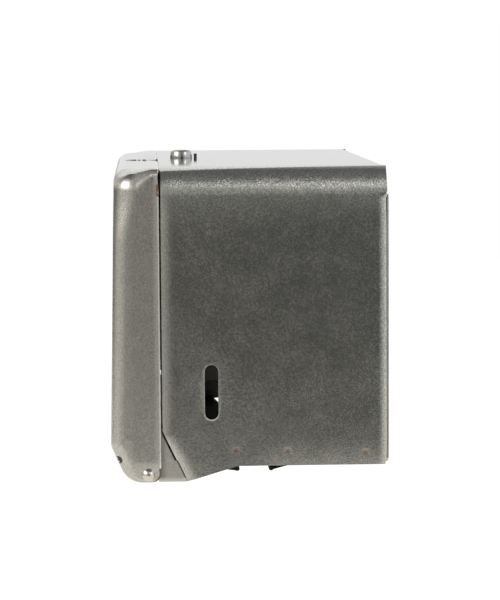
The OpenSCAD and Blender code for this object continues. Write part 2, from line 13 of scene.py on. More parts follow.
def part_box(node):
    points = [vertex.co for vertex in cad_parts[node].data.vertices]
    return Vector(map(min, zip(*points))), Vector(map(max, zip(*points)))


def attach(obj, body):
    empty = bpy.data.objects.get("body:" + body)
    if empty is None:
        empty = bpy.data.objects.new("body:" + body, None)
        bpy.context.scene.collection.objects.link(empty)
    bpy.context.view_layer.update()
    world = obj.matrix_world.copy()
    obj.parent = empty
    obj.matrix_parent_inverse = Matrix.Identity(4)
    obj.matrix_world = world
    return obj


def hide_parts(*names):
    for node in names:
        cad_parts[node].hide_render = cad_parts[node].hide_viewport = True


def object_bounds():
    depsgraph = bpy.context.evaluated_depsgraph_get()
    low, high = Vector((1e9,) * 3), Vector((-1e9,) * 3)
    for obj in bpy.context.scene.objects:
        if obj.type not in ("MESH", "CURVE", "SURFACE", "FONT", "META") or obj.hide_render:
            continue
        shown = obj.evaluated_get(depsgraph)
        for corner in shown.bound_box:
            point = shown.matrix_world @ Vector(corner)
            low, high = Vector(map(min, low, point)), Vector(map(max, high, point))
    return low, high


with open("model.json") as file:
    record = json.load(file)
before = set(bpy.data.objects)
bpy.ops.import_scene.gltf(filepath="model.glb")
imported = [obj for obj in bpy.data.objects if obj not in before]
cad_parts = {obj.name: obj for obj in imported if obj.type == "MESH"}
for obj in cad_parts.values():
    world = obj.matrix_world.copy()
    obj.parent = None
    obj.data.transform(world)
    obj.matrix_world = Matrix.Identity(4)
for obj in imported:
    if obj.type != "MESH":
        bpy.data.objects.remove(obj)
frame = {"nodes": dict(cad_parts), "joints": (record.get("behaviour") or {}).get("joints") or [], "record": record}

cad_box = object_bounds()

# Shapes are worked out in millimetres in the shared frame and scaled when a mesh is made
MM = 0.001
TINY = 0.01
SMOOTH_ANGLE = 35


def box_mm(node):
    low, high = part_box(node)
    return low / MM, high / MM


def clamp(t):
    return min(max(t, 0), 1)


def blend(a, b, t):
    """Smooth change from a to b while t runs from 0 to 1."""
    t = clamp(t)
    return a + (b - a) * t * t * (3 - 2 * t)


body_low, body_high = box_mm("body_shell")
door_low, door_high = box_mm("door_shell")
joints = {j["name"]: j for j in frame["joints"]}
HINGE = Vector(joints["door_hinge"]["pos_m"]) / MM
LOCK = Vector(joints["lock_turn"]["pos_m"]) / MM

# Cabinet sheet
SHEET = 0.8
BODY_H = 157.0
SIDE_X = body_high.x
TOP_Z = body_high.z
FOOT_Z = TOP_Z - BODY_H
FRONT_Y = body_low.y
REAR_Y = -SHEET
TOP_BEND_R = 15.0
FRONT_BEND_R = 0.8
REAR_BEND_R = 2.0
FRONT_FLANGE = 7.0
REAR_FLANGE = 14.0
REAR_PLATE_TOP = BODY_H - 15.0
REAR_PLATE_FOOT = 1.3
RELIEF = 0.35
NOSE_BACK = 13.3
NOSE_DROP = 8.0
NOSE_R = 4.0
SLOPE_RUN = 26.5
SLANT_RISE = 20.0
SLANT_ROLL = 8.0
SLANT_ROLL_DEPTH = 0.96
SLANT_FADE = (5.0, 24.0)
FRONT_ROLL = 8.0
FRONT_ROLL_DEPTH = 0.53
SIDE_REAR_R = 1.2
REAR_START_R = 0.5
REAR_FADE = 3.0
REAR_ROLL = 4.0
REAR_ROLL_DEPTH = 0.7
BEND_TAIL = 18.0
BEND_TAIL_DEPTH = 0.7
FOOT_ROLL = 14.0
FOOT_ROLL_DEPTH = 0.3
SLOT_W = 7.2
SLOT_L = 29.0
SLOT_Y = FRONT_Y + 26.4
SLOT_Z = FOOT_Z + 39.2
LOCK_HOLE_R = 5.4
WELDS = [(-80.9, 8.3), (-53.5, 7.7), (-12.7, 6.6)]
WELD_R = 1.5
WELD_DEPTH = 0.06
BURR_W = 1.0
BURR_RISE = 0.12
# Rear corner of the top: where it leaves and ends its straight edge, and how far it reaches back
CORNER_START = 9.0
CORNER_END = 1.0
CORNER_REACH = 0.4
# Steps of the mesh over the sheet, and lines and rings of points where it is finer
OUTLINE_STEP = 2.0
TOP_STEP = 5.0
SIDE_STEP = 3.0
DEPTH_STEP = 3.5
SLANT_LINES = (0.35, 0.8, 1.4, 2.1, 3.0, 4.2, 5.6, 7.2)
SLANT_OVERRUN = 1.15
WELD_RINGS = (0.0, 0.7, 1.4, 2.1, 2.9)
BURR_RINGS = (0.35, 0.7, 1.1, 1.7)

# Door
DOOR_X = door_high.x
DOOR_TOP = door_high.z
DOOR_BOTTOM = door_low.z
RIM_Y = door_high.y + 0.4
DOOR_SHEET = 0.55
DOOR_FRONT_TOP = door_high.y - 23.2
DOOR_FRONT_FOOT = door_high.y - 25.9
DOOR_TOP_FALL = 1.0
RIM_DEPTH = 4.0
BALL_R = 11.0
CREST_R = 7.0
CREST_FADE = 14.0
RIM_EDGE_R = 4.0
FRONT_EDGE_R = 7.0
FOOT_EDGE_R = 2.0
BALL_BLEND = 28.0
CORNER_R = 12.0
BEVEL_RISE = 20.5
BEVEL_RUN = 4.2
RIM_END_R = 5.5
TUCK_TOP = DOOR_BOTTOM + 10.8
TUCK_SLOPE = math.tan(math.radians(4.5))
TUCK_SOFT = 1.0
SIDE_DRAFT = math.tan(math.radians(4))
# Pairs: where a change begins, measured in from the named edge, and the run over which it grows
TUCK_SIDE = (6.0, 4.0)
TUCK_FRONT = (3.0, 9.0)
CLOSE_TOP = (7.0, 6.0)
OPEN_TOP = (0.8, 1.5)
OPEN_FOOT = (9.0, 2.5)
SIDE_FACE = 0.5
RIM_CLOSE = 0.3
RIM_OPEN = 0.6
RIM_OPEN_W = 3.0
HEM_W = 1.1
HEM_RISE = 0.25
RIM_CURL_W = 0.7
RIM_CURL = 0.08
# Width in millimetres of the painted highlight along the door's rim
RIM_HIGHLIGHT_W = 0.8
SEAM_HALF = 0.3
SEAM_END_HALF = 0.6
SEAM_END = 0.5
SEAM_STEP = 0.55
SEAM_END_STEP = 0.7
SEAM_STEP_REACH = 8.0
# Distance in front of the rim, half length and share of the step where the seam stands open
SEAM_MARKS = [(7.2, 0.8, 0.9), (10.2, 0.45, 0.8), (12.2, 0.5, 0.7)]
SEAM_CLOSED = 0.14
SEAM_SHARES = [*np.linspace(0.02, 0.8, 14), *np.linspace(0.82, 1, 10)]
EDGE_TURNS = [*np.radians(np.linspace(0, 90, 13))][1:]
SAG_REACH = 40.0
TOP_FACING = 0.95
DOOR_EDGE = 0.1
SIDE_GRID = 2.5
SIDE_GRID_DEPTH = 16.0
SIDE_CLEAR = 0.08
TUCK_MARGIN = 2.0
DRAIN_D = 4.4
DRAIN_INSET = 5.0
DRAIN_UP = 5.4

# Throat lips
LIP_INSET = 9.0
LIP_TO_MIDDLE = 18.1
LIP_TO_END = 32.0
FRONT_LIP_BEND = FRONT_Y + NOSE_BACK + SLOPE_RUN - LIP_INSET
LIP_BEND_REACH = 3.0
LIP_BEND_SHIFT = (3.4, 1.03)
LIP_ADVANCE = 0.5
LIP_RAISE = 1.75
THROAT_MIDDLE = FRONT_LIP_BEND + LIP_TO_MIDDLE
REAR_LIP_END = FRONT_LIP_BEND + LIP_TO_END

# Lock head and rivets
LOCK_R = 6.35
LOCK_H = 4.4
LOCK_SHOULDER = 1.25
LOCK_BARREL = 0.9
LOCK_THREAD_R = 5.2
LOCK_PLUG_R = 3.85
LOCK_LIP = 0.35
LOCK_FOOT = 0.1
LOCK_STEPS = 96
RIVET_R = 3.3
RIVET_H = 2.0
RIVET_SHANK_R = 1.55
RIVET_TAIL_R = 2.6
RIVET_TAIL_H = 1.0
RIVET_GAP = 0.03
RIVET_RIM = 0.12
RIVET_UNDERCUT = 0.15


def make_object(name, verts, faces, smooth_angle=SMOOTH_ANGLE):
    """A mesh object from points in millimetres."""
    mesh = bpy.data.meshes.new(name)
    mesh.from_pydata([Vector(v) * MM for v in verts], [], faces)
    mesh.validate()
    obj = bpy.data.objects.new(name, mesh)
    bpy.context.scene.collection.objects.link(obj)
    mesh.shade_smooth()
    mesh.set_sharp_from_angle(angle=math.radians(smooth_angle))
    return obj


def clean_mesh(obj, smooth_angle=SMOOTH_ANGLE):
    """Merges doubled points, drops faces without area and makes the normals agree."""
    work = bmesh.new()
    work.from_mesh(obj.data)
    bmesh.ops.remove_doubles(work, verts=work.verts, dist=0.01 * MM)
    bmesh.ops.dissolve_degenerate(work, edges=work.edges, dist=0.005 * MM)
    bmesh.ops.recalc_face_normals(work, faces=work.faces)
    work.to_mesh(obj.data)
    work.free()
    obj.data.shade_smooth()
    obj.data.set_sharp_from_angle(angle=math.radians(smooth_angle))


def add_modifier(obj, kind, **values):
    modifier = obj.modifiers.new(kind.lower(), kind)
    for key, value in values.items():
        setattr(modifier, key, value)
    return modifier


def bake_modifiers(obj):
    """Replaces the mesh by its evaluated form, so that no modifier is left."""
    graph = bpy.context.evaluated_depsgraph_get()
    mesh = bpy.data.meshes.new_from_object(obj.evaluated_get(graph))
    obj.modifiers.clear()
    obj.data = mesh


def sheet_metal(obj, thickness, edge=0.12):
    """Gives an open skin its thickness inwards and breaks its sharp edges."""
    add_modifier(obj, "SOLIDIFY", thickness=thickness * MM, offset=-1)
    add_modifier(obj, "BEVEL", width=edge * MM, segments=2, limit_method="ANGLE",
                 angle_limit=math.radians(55), harden_normals=True)
    bake_modifiers(obj)


# Flat patterns

def arc_points(centre, radius, start, end, steps):
    """Points on a circle from angle start to angle end, in degrees."""
    angles = np.radians(np.linspace(start, end, steps + 1))
    return [(centre[0] + radius * math.cos(a), centre[1] + radius * math.sin(a)) for a in angles]


def round_corner(a, b, c, radius, steps=8):
    """Arc that rounds the corner b between a and c."""
    a, b, c = (Vector(p) for p in (a, b, c))
    u, v = (a - b).normalized(), (c - b).normalized()
    half = u.angle(v) / 2
    centre = b + (u + v).normalized() * radius / math.sin(half)
    first = b + u * radius / math.tan(half) - centre
    last = b + v * radius / math.tan(half) - centre
    return [tuple(centre + first.slerp(last, i / steps).normalized() * radius) for i in range(steps + 1)]


def obround(centre, width, length, steps=12):
    """Slot outline, long along its second axis."""
    reach = (length - width) / 2
    upper = arc_points((centre[0], centre[1] + reach), width / 2, 0, 180, steps)
    lower = arc_points((centre[0], centre[1] - reach), width / 2, 180, 360, steps)
    return upper + lower


def resample(outline, step):
    """Closed outline with no edge longer than step."""
    result = []
    for p, q in zip(outline, outline[1:] + outline[:1]):
        p, q = Vector(p), Vector(q)
        count = max(1, math.ceil((q - p).length / step))
        result += [tuple(p.lerp(q, i / count)) for i in range(count)]
    return result


def inside(points, outline):
    """Even-odd test of points against a closed outline."""
    x, y = points[:, 0], points[:, 1]
    hit = np.zeros(len(points), bool)
    for (x0, y0), (x1, y1) in zip(outline, outline[1:] + outline[:1]):
        if y0 == y1:
            continue
        crosses = (y0 > y) != (y1 > y)
        hit ^= crosses & (x < (x1 - x0) * (y - y0) / (y1 - y0) + x0)
    return hit


def edge_distance(points, outline):
    """Least distance from each point to a closed outline."""
    best = np.full(len(points), np.inf)
    for p, q in zip(outline, outline[1:] + outline[:1]):
        p, q = np.array(p), np.array(q)
        d = q - p
        t = np.clip(((points - p) @ d) / max(d @ d, 1e-12), 0, 1)
        best = np.minimum(best, np.linalg.norm(points - p - t[:, None] * d, axis=1))
    return best


def thin_out(points, gap):
    """Drops points that lie closer than gap to an earlier one."""
    tree = KDTree(len(points))
    for i, (x, y) in enumerate(points):
        tree.insert((x, y, 0), i)
    tree.balance()
    dropped = set()
    for i, (x, y) in enumerate(points):
        if i not in dropped:
            dropped.update(j for _, j, _ in tree.find_range((x, y, 0), gap) if j > i)
    return [p for i, p in enumerate(points) if i not in dropped]


def fill_pattern(outline, holes, inner, clear=0.25, gap=0.3):
    """Triangles that fill an outline with holes through extra inner points."""
    inner = np.array(thin_out(inner, gap), float).reshape(-1, 2)
    keep = inside(inner, outline) & (edge_distance(inner, outline) > clear)
    for hole in holes:
        keep &= ~inside(inner, hole) & (edge_distance(inner, hole) > clear)
    points, edges = [], []
    for loop in [outline] + holes:
        first = len(points)
        points += loop
        edges += [(first + i, first + (i + 1) % len(loop)) for i in range(len(loop))]
    points += [tuple(p) for p in inner[keep]]
    verts, _, faces, *_ = delaunay_2d_cdt([Vector(p) for p in points], edges, [], 1, 1e-5)
    verts = np.array([tuple(v) for v in verts])
    centres = np.array([verts[list(f)].mean(0) for f in faces])
    solid = inside(centres, outline)
    for hole in holes:
        solid &= ~inside(centres, hole)
    return verts, [list(f) for f, ok in zip(faces, solid) if ok]


def grid(xs, ys):
    return [(x, y) for x in xs for y in ys]


# Cabinet: one sheet, cut flat and bent

FLAT_X = SIDE_X - TOP_BEND_R
BEND_ARC = TOP_BEND_R * math.pi / 2


def along(height):
    """Length along the sheet, from the top's middle, to a height on a side above its bottom edge."""
    return FLAT_X + BEND_ARC + (BODY_H - TOP_BEND_R - height)


def cross_section(s):
    """Point and outward normal of the bent top and sides."""
    side = math.copysign(1, s)
    a = min(max((abs(s) - FLAT_X) / TOP_BEND_R, 0), math.pi / 2)
    normal = Vector((side * math.sin(a), 0, math.cos(a)))
    point = Vector((side * min(abs(s), FLAT_X), 0, TOP_Z - TOP_BEND_R)) + TOP_BEND_R * normal
    point.z -= max(abs(s) - FLAT_X - BEND_ARC, 0)
    return point, normal


FRONT_TAB = (FLAT_X + 0.3 * BEND_ARC, along(SLANT_RISE + 0.4))
REAR_TAB = (along(REAR_PLATE_TOP + 1.3), along(REAR_PLATE_FOOT))
FRONT_LINE = FRONT_Y + FRONT_BEND_R
REAR_LINE = REAR_Y - REAR_BEND_R
SIDE_REAR_LINE = REAR_Y - SIDE_REAR_R
NOTCH_LINE = REAR_Y - REAR_START_R
FRONT_TAB_END = FRONT_LINE - FRONT_BEND_R * math.pi / 2 - FRONT_FLANGE
REAR_TAB_END = REAR_LINE + REAR_BEND_R * math.pi / 2 + REAR_FLANGE
TOP_TAB_END = REAR_LINE + REAR_BEND_R * math.pi / 2 + (BODY_H - REAR_PLATE_TOP) - REAR_BEND_R
SLANT_TOP = (along(SLANT_RISE), FRONT_Y)
NOSE = (along(-NOSE_DROP), FRONT_Y + NOSE_BACK)
SLOPE_END = (along(0), NOSE[1] + SLOPE_RUN)


def rear_radius(d):
    """Radius of the rear bend, which on a side is tight at the flange's upper end."""
    if d < FLAT_X:
        return REAR_BEND_R
    return blend(REAR_START_R, SIDE_REAR_R, (d - REAR_TAB[0]) / REAR_FADE)


def on_tab(s, t):
    """True where the sheet is bent inwards at the front or the back."""
    d = abs(s)
    if t < FRONT_LINE:
        return FRONT_TAB[0] - TINY < d < FRONT_TAB[1] + TINY
    on_top = d < FLAT_X - RELIEF + TINY
    on_side = REAR_TAB[0] - TINY < d < REAR_TAB[1] + TINY
    return t > REAR_Y - rear_radius(d) and (on_top or on_side)


def bend_tail(below):
    """Share of the upper bend's soft run-out at a distance below the bend's true end."""
    if below > 0:
        return max(1 - below / BEND_TAIL, 0) ** 2
    u = min(max(1 + below / BEND_ARC, 0), 1)
    return u ** 2 * (3 - 2 * u + (2 * BEND_ARC / BEND_TAIL) * (1 - u))


def sheet_offset(s, t):
    """How far the worn sheet stands in from its true face."""
    d = abs(s)
    offset = fore_rolls(d, t) + rear_roll(d, t)
    offset += BEND_TAIL_DEPTH * bend_tail(d - FLAT_X - BEND_ARC)
    for y, height in WELDS:
        r = math.hypot(d - along(height), t - y)
        offset += WELD_DEPTH * math.exp(-(r / WELD_R) ** 2)
    past_straight = max(abs(d - along(SLOT_Z - FOOT_Z)) - (SLOT_L - SLOT_W) / 2, 0)
    slot_r = math.hypot(past_straight, t - SLOT_Y) - SLOT_W / 2
    if slot_r < BURR_W:
        offset -= BURR_RISE * (BURR_W - slot_r) ** 2
    return offset


def fore_rolls(d, t):
    """Roll of the slanted, front and bottom edges, whichever is deeper."""
    slant = Vector(NOSE) - Vector(SLANT_TOP)
    reach = abs((Vector((d, t)) - Vector(SLANT_TOP)).cross(slant)) / slant.length
    fade = blend(0, 1, (d - SLANT_TOP[0] + SLANT_FADE[0]) / SLANT_FADE[1])
    offset = SLANT_ROLL_DEPTH * fade * max(1 - reach / SLANT_ROLL, 0) ** 3
    fade = blend(0, 1, (d - FLAT_X - BEND_ARC / 2) / BEND_ARC)
    near = clamp(1 - (t - FRONT_LINE) / FRONT_ROLL)
    offset = max(offset, FRONT_ROLL_DEPTH * fade * near ** 3)
    fade = blend(0, 1, (t - SLOPE_END[1]) / SLOPE_RUN)
    near = max(1 - (along(0) - d) / FOOT_ROLL, 0)
    return max(offset, FOOT_ROLL_DEPTH * fade * near ** 2)


def rear_roll(d, t):
    """Roll of a side towards its rear bend."""
    bent = rear_radius(d) * math.pi / 2
    near = max(min(t - REAR_Y + rear_radius(d), bent) / REAR_ROLL + 1, 0)
    fade = blend(0, 1, (d - REAR_TAB[0]) / REAR_FADE)
    return REAR_ROLL_DEPTH * fade * (near ** 2 if near < 1 else 2 * near - 1)


def sheet_point(s, t):
    """Place in space of a point of the flat pattern."""
    point, normal = cross_section(s)
    inward = sheet_offset(s, t)
    y = t
    if on_tab(s, t):
        front = t < FRONT_LINE
        radius = FRONT_BEND_R if front else rear_radius(abs(s))
        line = FRONT_LINE if front else REAR_Y - radius
        sense = -1 if front else 1
        run = abs(t - line)
        a = min(run / radius, math.pi / 2)
        y = line + sense * radius * math.sin(a)
        inward += radius * (1 - math.cos(a)) + max(run - radius * math.pi / 2, 0)
    return point + Vector((0, y, 0)) - normal * inward


def cabinet_outline():
    """Right half of the flat pattern, from the front middle round to the back middle."""
    nose = round_corner(SLANT_TOP, NOSE, SLOPE_END, NOSE_R)
    return [
        (0, FRONT_Y), (FRONT_TAB[0] - RELIEF, FRONT_Y), (FRONT_TAB[0] - RELIEF, FRONT_LINE),
        (FRONT_TAB[0], FRONT_LINE), (FRONT_TAB[0], FRONT_TAB_END), (FRONT_TAB[1], FRONT_TAB_END),
        (FRONT_TAB[1], FRONT_LINE), (FRONT_TAB[1] + RELIEF, FRONT_LINE), (FRONT_TAB[1] + RELIEF, FRONT_Y),
        SLANT_TOP, *nose, SLOPE_END, (along(0), SIDE_REAR_LINE),
        (REAR_TAB[1], SIDE_REAR_LINE), (REAR_TAB[1], REAR_TAB_END), (REAR_TAB[0], REAR_TAB_END),
        (REAR_TAB[0], NOTCH_LINE), (REAR_TAB[0] - RELIEF, NOTCH_LINE), (REAR_TAB[0] - RELIEF, REAR_Y),
        (FLAT_X + CORNER_START, REAR_Y), (FLAT_X + CORNER_END, REAR_Y + CORNER_REACH), (FLAT_X, REAR_LINE),
        (FLAT_X - RELIEF, REAR_LINE), (FLAT_X - RELIEF, TOP_TAB_END), (0, TOP_TAB_END),
    ]


def sheet_grid():
    """Points over the whole pattern, closer together in its bends and rolls."""
    flat_s = np.arange(0, FLAT_X, TOP_STEP)
    bend_s = np.linspace(FLAT_X, FLAT_X + BEND_ARC, 19)
    side_s = np.arange(FLAT_X + BEND_ARC + OUTLINE_STEP, along(-NOSE_DROP), SIDE_STEP)
    fade_s = REAR_TAB[0] + np.linspace(0.5, REAR_FADE, 8)
    right_s = np.concatenate([flat_s, bend_s, side_s, fade_s])
    all_s = np.concatenate([-right_s[1:], right_s])
    flat_t = np.arange(FRONT_LINE, REAR_LINE, DEPTH_STEP)
    front_t = FRONT_LINE - np.linspace(0, FRONT_BEND_R * math.pi / 2, 9)
    rear_t = REAR_LINE + np.linspace(0, REAR_BEND_R * math.pi / 2, 7)
    side_rear_t = SIDE_REAR_LINE + np.linspace(0, SIDE_REAR_R * math.pi / 2, 9)
    rear_roll_t = SIDE_REAR_LINE - np.linspace(0, REAR_ROLL, 8)[1:]
    roll_t = FRONT_LINE + np.linspace(0, FRONT_ROLL, 10)[1:]
    points = grid(all_s[np.abs(all_s) > FLAT_X], np.concatenate([side_rear_t, rear_roll_t]))
    points += grid(np.concatenate([-flat_s[1:], flat_s]), rear_t)
    points += grid(all_s, np.concatenate([front_t, roll_t, flat_t]))
    return points


def detail_points(slot_s):
    """Extra points along the slanted edges and round the welds and slots."""
    extra = []
    slant = Vector(NOSE) - Vector(SLANT_TOP)
    across = Vector((-slant.y, slant.x)).normalized()
    across = across if across.y > 0 else -across
    for sign in (-1, 1):
        for k in np.linspace(0, SLANT_OVERRUN, 45):
            for reach in SLANT_LINES:
                p = Vector(SLANT_TOP) + slant * k + across * reach
                extra.append((sign * p.x, p.y))
        for y, height in WELDS:
            for r in WELD_RINGS:
                extra += [(sign * s, t) for s, t in arc_points((along(height), y), r, 0, 330, 11)]
        for grow in BURR_RINGS:
            extra += [(sign * s, t) for s, t in turn_slot(slot_s, grow)]
    return extra


def build_cabinet():
    half = cabinet_outline()
    outline = resample(half + [(-s, t) for s, t in reversed(half[1:-1])], OUTLINE_STEP)
    slot_s = along(SLOT_Z - FOOT_Z)
    slots = [[(sign * s, t) for s, t in turn_slot(slot_s)] for sign in (-1, 1)]
    holes = slots + [arc_points((0, LOCK.y), LOCK_HOLE_R, 0, 345, 23)]
    verts, faces = fill_pattern(outline, holes, detail_points(slot_s) + sheet_grid())
    obj = make_object("cabinet_sheet", [sheet_point(s, t) for s, t in verts], faces)
    clean_mesh(obj)
    top_up = max(obj.data.polygons, key=lambda f: f.center.z * (abs(f.center.x) < FLAT_X * MM)).normal.z
    if top_up < 0:
        obj.data.flip_normals()
    sheet_metal(obj, SHEET)
    return obj


def turn_slot(slot_s, grow=0):
    """Slot outline in the flat pattern, long along the sheet's length."""
    return [(slot_s + v, SLOT_Y + u) for u, v in obround((0, 0), SLOT_W + 2 * grow, SLOT_L + 2 * grow)]


# Door: a drawn shell, swept as rows down its side profile

def rim_end(z):
    """Rear limit of the door at a height, round at the lower end of the rim."""
    rise = z - DOOR_BOTTOM
    if rise >= RIM_END_R:
        return RIM_Y
    return RIM_Y - RIM_END_R + math.sqrt(max(RIM_END_R ** 2 - (RIM_END_R - rise) ** 2, 0))


def hem_lines():
    """Distances from the rim at which its curled edge and its hem have points."""
    return [*np.linspace(0, RIM_CURL_W, 5), HEM_W]


def door_rows():
    """Rows of the door's skin: point of the side profile, outward normal and radius of the side edge.

    The bottom's rows hold, instead of a normal, their share of the way back to the rim.
    """
    rows = []
    top_centre = Vector((DOOR_FRONT_TOP + BALL_R, DOOR_TOP - DOOR_TOP_FALL - BALL_R))
    depth = RIM_Y - top_centre.x
    slope = math.atan(DOOR_TOP_FALL / (depth - RIM_DEPTH))
    for d in hem_lines() + list(np.linspace(RIM_DEPTH, depth, 19)):
        fallen = max(d - RIM_DEPTH, 0) * math.tan(slope)
        normal = Vector((-math.sin(slope), math.cos(slope))) if d > RIM_DEPTH else Vector((0, 1))
        edge = RIM_EDGE_R + (BALL_R - RIM_EDGE_R) * (d / depth) ** 2
        rows.append((Vector((RIM_Y - d, DOOR_TOP - fallen)), normal, edge))
    tilt = math.atan((DOOR_FRONT_TOP - DOOR_FRONT_FOOT) / (DOOR_TOP - DOOR_BOTTOM))
    for a in np.linspace(math.pi / 2 - slope, 0, 13)[1:]:
        normal = Vector((-math.cos(a), math.sin(a)))
        rows.append((top_centre + BALL_R * normal, normal, BALL_R))
    bevel_z = DOOR_BOTTOM + BEVEL_RISE
    front = Vector((-math.cos(tilt), math.sin(tilt)))
    for z in np.linspace(top_centre.y, bevel_z, 40)[1:]:
        share = (top_centre.y - z) / (top_centre.y - bevel_z)
        y = DOOR_FRONT_TOP + (DOOR_FRONT_FOOT - DOOR_FRONT_TOP) * share
        rows.append((Vector((y, z)), front, blend(BALL_R, FRONT_EDGE_R, (top_centre.y - z) / BALL_BLEND)))
    bevel = math.atan(BEVEL_RUN / (BEVEL_RISE - CORNER_R))
    knee = Vector((DOOR_FRONT_FOOT + FRONT_EDGE_R, bevel_z))
    for a in np.linspace(0, bevel, 5)[1:]:
        normal = Vector((-math.cos(a), -math.sin(a)))
        rows.append((knee + FRONT_EDGE_R * normal, normal, FRONT_EDGE_R))
    corner = Vector((DOOR_FRONT_FOOT + BEVEL_RUN + CORNER_R, DOOR_BOTTOM + CORNER_R))
    for a in np.linspace(bevel, math.pi / 2, 17):
        normal = Vector((-math.cos(a), -math.sin(a)))
        share = (a - bevel) / (math.pi / 2 - bevel)
        edge = FRONT_EDGE_R + (FOOT_EDGE_R - FRONT_EDGE_R) * share
        rows.append((corner + CORNER_R * normal, normal, edge))
    for k in np.linspace(0, 1, 7)[1:]:
        rows.append((Vector((corner.x, DOOR_BOTTOM)), k, FOOT_EDGE_R))
    return rows


def door_point(row, x_share, a):
    """Point of a row: x_share runs along its flat, a turns round its side edge."""
    profile, normal, edge = row
    x = x_share * (DOOR_X - edge) + edge * math.sin(a)
    drop = edge * (1 - math.cos(a))
    if not isinstance(normal, Vector):
        z = profile.y + drop
        return Vector((x, profile.x + normal * (rim_end(z) - profile.x), z))
    return Vector((x, profile.x - normal.x * drop, profile.y - normal.y * drop))


def tuck(z):
    """How far the side leans in below its crease."""
    below = TUCK_TOP - z
    if below <= -TUCK_SOFT:
        return 0
    if below < TUCK_SOFT:
        return TUCK_SLOPE * (below + TUCK_SOFT) ** 2 / (4 * TUCK_SOFT)
    return TUCK_SLOPE * below


def worn_door(p):
    """Drafts the sides, leans their foot in, raises the hem and shapes the upper end of the rim."""
    x = p.x
    near_side = clamp((abs(x) - DOOR_X + TUCK_SIDE[0]) / TUCK_SIDE[1])
    front_fade = clamp((p.y - DOOR_FRONT_FOOT - TUCK_FRONT[0]) / TUCK_FRONT[1])
    shift = -tuck(p.z) * near_side * front_fade - SIDE_DRAFT * (RIM_Y - p.y) * abs(x) / DOOR_X
    gap = rim_end(p.z) - p.y
    if abs(x) > DOOR_X - SIDE_FACE:
        shift += HEM_RISE * max(1 - gap / HEM_W, 0) - RIM_CURL * max(1 - gap / RIM_CURL_W, 0) ** 2
    top = blend(0, 1, (p.z - DOOR_TOP + CLOSE_TOP[0]) / CLOSE_TOP[1])
    close = RIM_CLOSE * top if gap < TINY else 0
    opened = blend(0, 1, (DOOR_TOP - OPEN_TOP[0] - p.z) / OPEN_TOP[1])
    opened *= blend(0, 1, (p.z - DOOR_TOP + OPEN_FOOT[0]) / OPEN_FOOT[1])
    close -= RIM_OPEN * opened * max(1 - gap / RIM_OPEN_W, 0)
    return Vector((x + math.copysign(1, x) * shift, p.y + close, p.z))


def top_sag(p):
    """How far the middle of the door's top sags, which keeps the seam level."""
    return max(p.z - DOOR_TOP + DOOR_TOP_FALL, 0) * math.exp(-(p.x / SAG_REACH) ** 2)


def crest(row, x):
    """Shift that tightens the rounding between the door's top and front, away from the ball corners."""
    profile, normal, _ = row
    behind = profile.x - DOOR_FRONT_TOP - BALL_R
    below = DOOR_TOP - DOOR_TOP_FALL - BALL_R - profile.y
    if max(behind, below) > TINY:
        return Vector((0, 0, 0))
    share = blend(0, 1, (DOOR_X - BALL_R - abs(x)) / CREST_FADE)
    return Vector((0, -1 - normal.x, 1 - normal.y)) * (BALL_R - CREST_R) * share


def seam_step(x, y):
    """Rise of the far half of the door's top beside the butt seam, uneven along the seam."""
    if x > 0:
        return 0
    depth = RIM_Y - y
    uneven = SEAM_CLOSED + sum(share * math.exp(-((depth - d) / w) ** 2) for d, w, share in SEAM_MARKS)
    end = SEAM_END_STEP * math.exp(-depth / SEAM_END)
    return (SEAM_STEP * uneven + end) * math.exp(x / SEAM_STEP_REACH)


def lies_level(row):
    """True for the rows of the door's top."""
    return isinstance(row[1], Vector) and row[1].y > TOP_FACING


def door_half(sign, rows, verts, faces):
    """Skin of one half of the door, and the curve along which its side edge meets the flat side."""
    first = len(verts)
    width = 1 + len(SEAM_SHARES) + len(EDGE_TURNS)
    for row in rows:
        on_top = lies_level(row)
        gap = RIM_Y - row[0].x
        slit = SEAM_END_HALF if gap < SEAM_END else SEAM_HALF
        start = slit if on_top else SEAM_HALF
        line = [Vector((start, *door_point(row, 0, 0)[1:]))]
        line += [door_point(row, share, 0) for share in SEAM_SHARES]
        line += [door_point(row, 1, a) for a in EDGE_TURNS]
        for p in map(worn_door, line):
            rise = seam_step(sign * p.x, p.y) - top_sag(p) if on_top else 0
            verts.append(Vector((sign * p.x, p.y, p.z + rise)) + crest(row, p.x))
    for i in range(len(rows) - 1):
        for j in range(width - 1):
            a = first + i * width + j
            quad = [a, a + 1, a + width + 1, a + width]
            faces.append(quad if sign > 0 else quad[::-1])
    return [door_point(row, 1, math.pi / 2) for row in rows]


def door_side(sign, edge, verts, faces):
    """Flat side between the side edge and the rim."""
    outline = []
    for p in edge:
        if not outline or (Vector(outline[-1]) - Vector((p.y, p.z))).length > 0.02:
            outline.append((p.y, p.z))
    foot_z, head_z = outline[-1][1], outline[0][1]
    crease = TUCK_TOP + TUCK_MARGIN
    heights = [*np.linspace(foot_z, crease, 16)][1:] + [*np.linspace(crease, head_z, 46)][1:-1]
    outline += [(rim_end(z), z) for z in heights]
    depths = hem_lines()[1:] + list(np.arange(HEM_W + SIDE_GRID, SIDE_GRID_DEPTH, SIDE_GRID))
    inner = [(rim_end(z) - d, z) for z in heights for d in depths]
    points, triangles = fill_pattern(outline, [], inner, SIDE_CLEAR, SIDE_CLEAR)
    first = len(verts)
    for y, z in points:
        p = worn_door(Vector((DOOR_X, y, z)))
        verts.append(Vector((sign * p.x, p.y, p.z)))
    for f in triangles:
        face = [first + i for i in f]
        faces.append(face if sign > 0 else face[::-1])


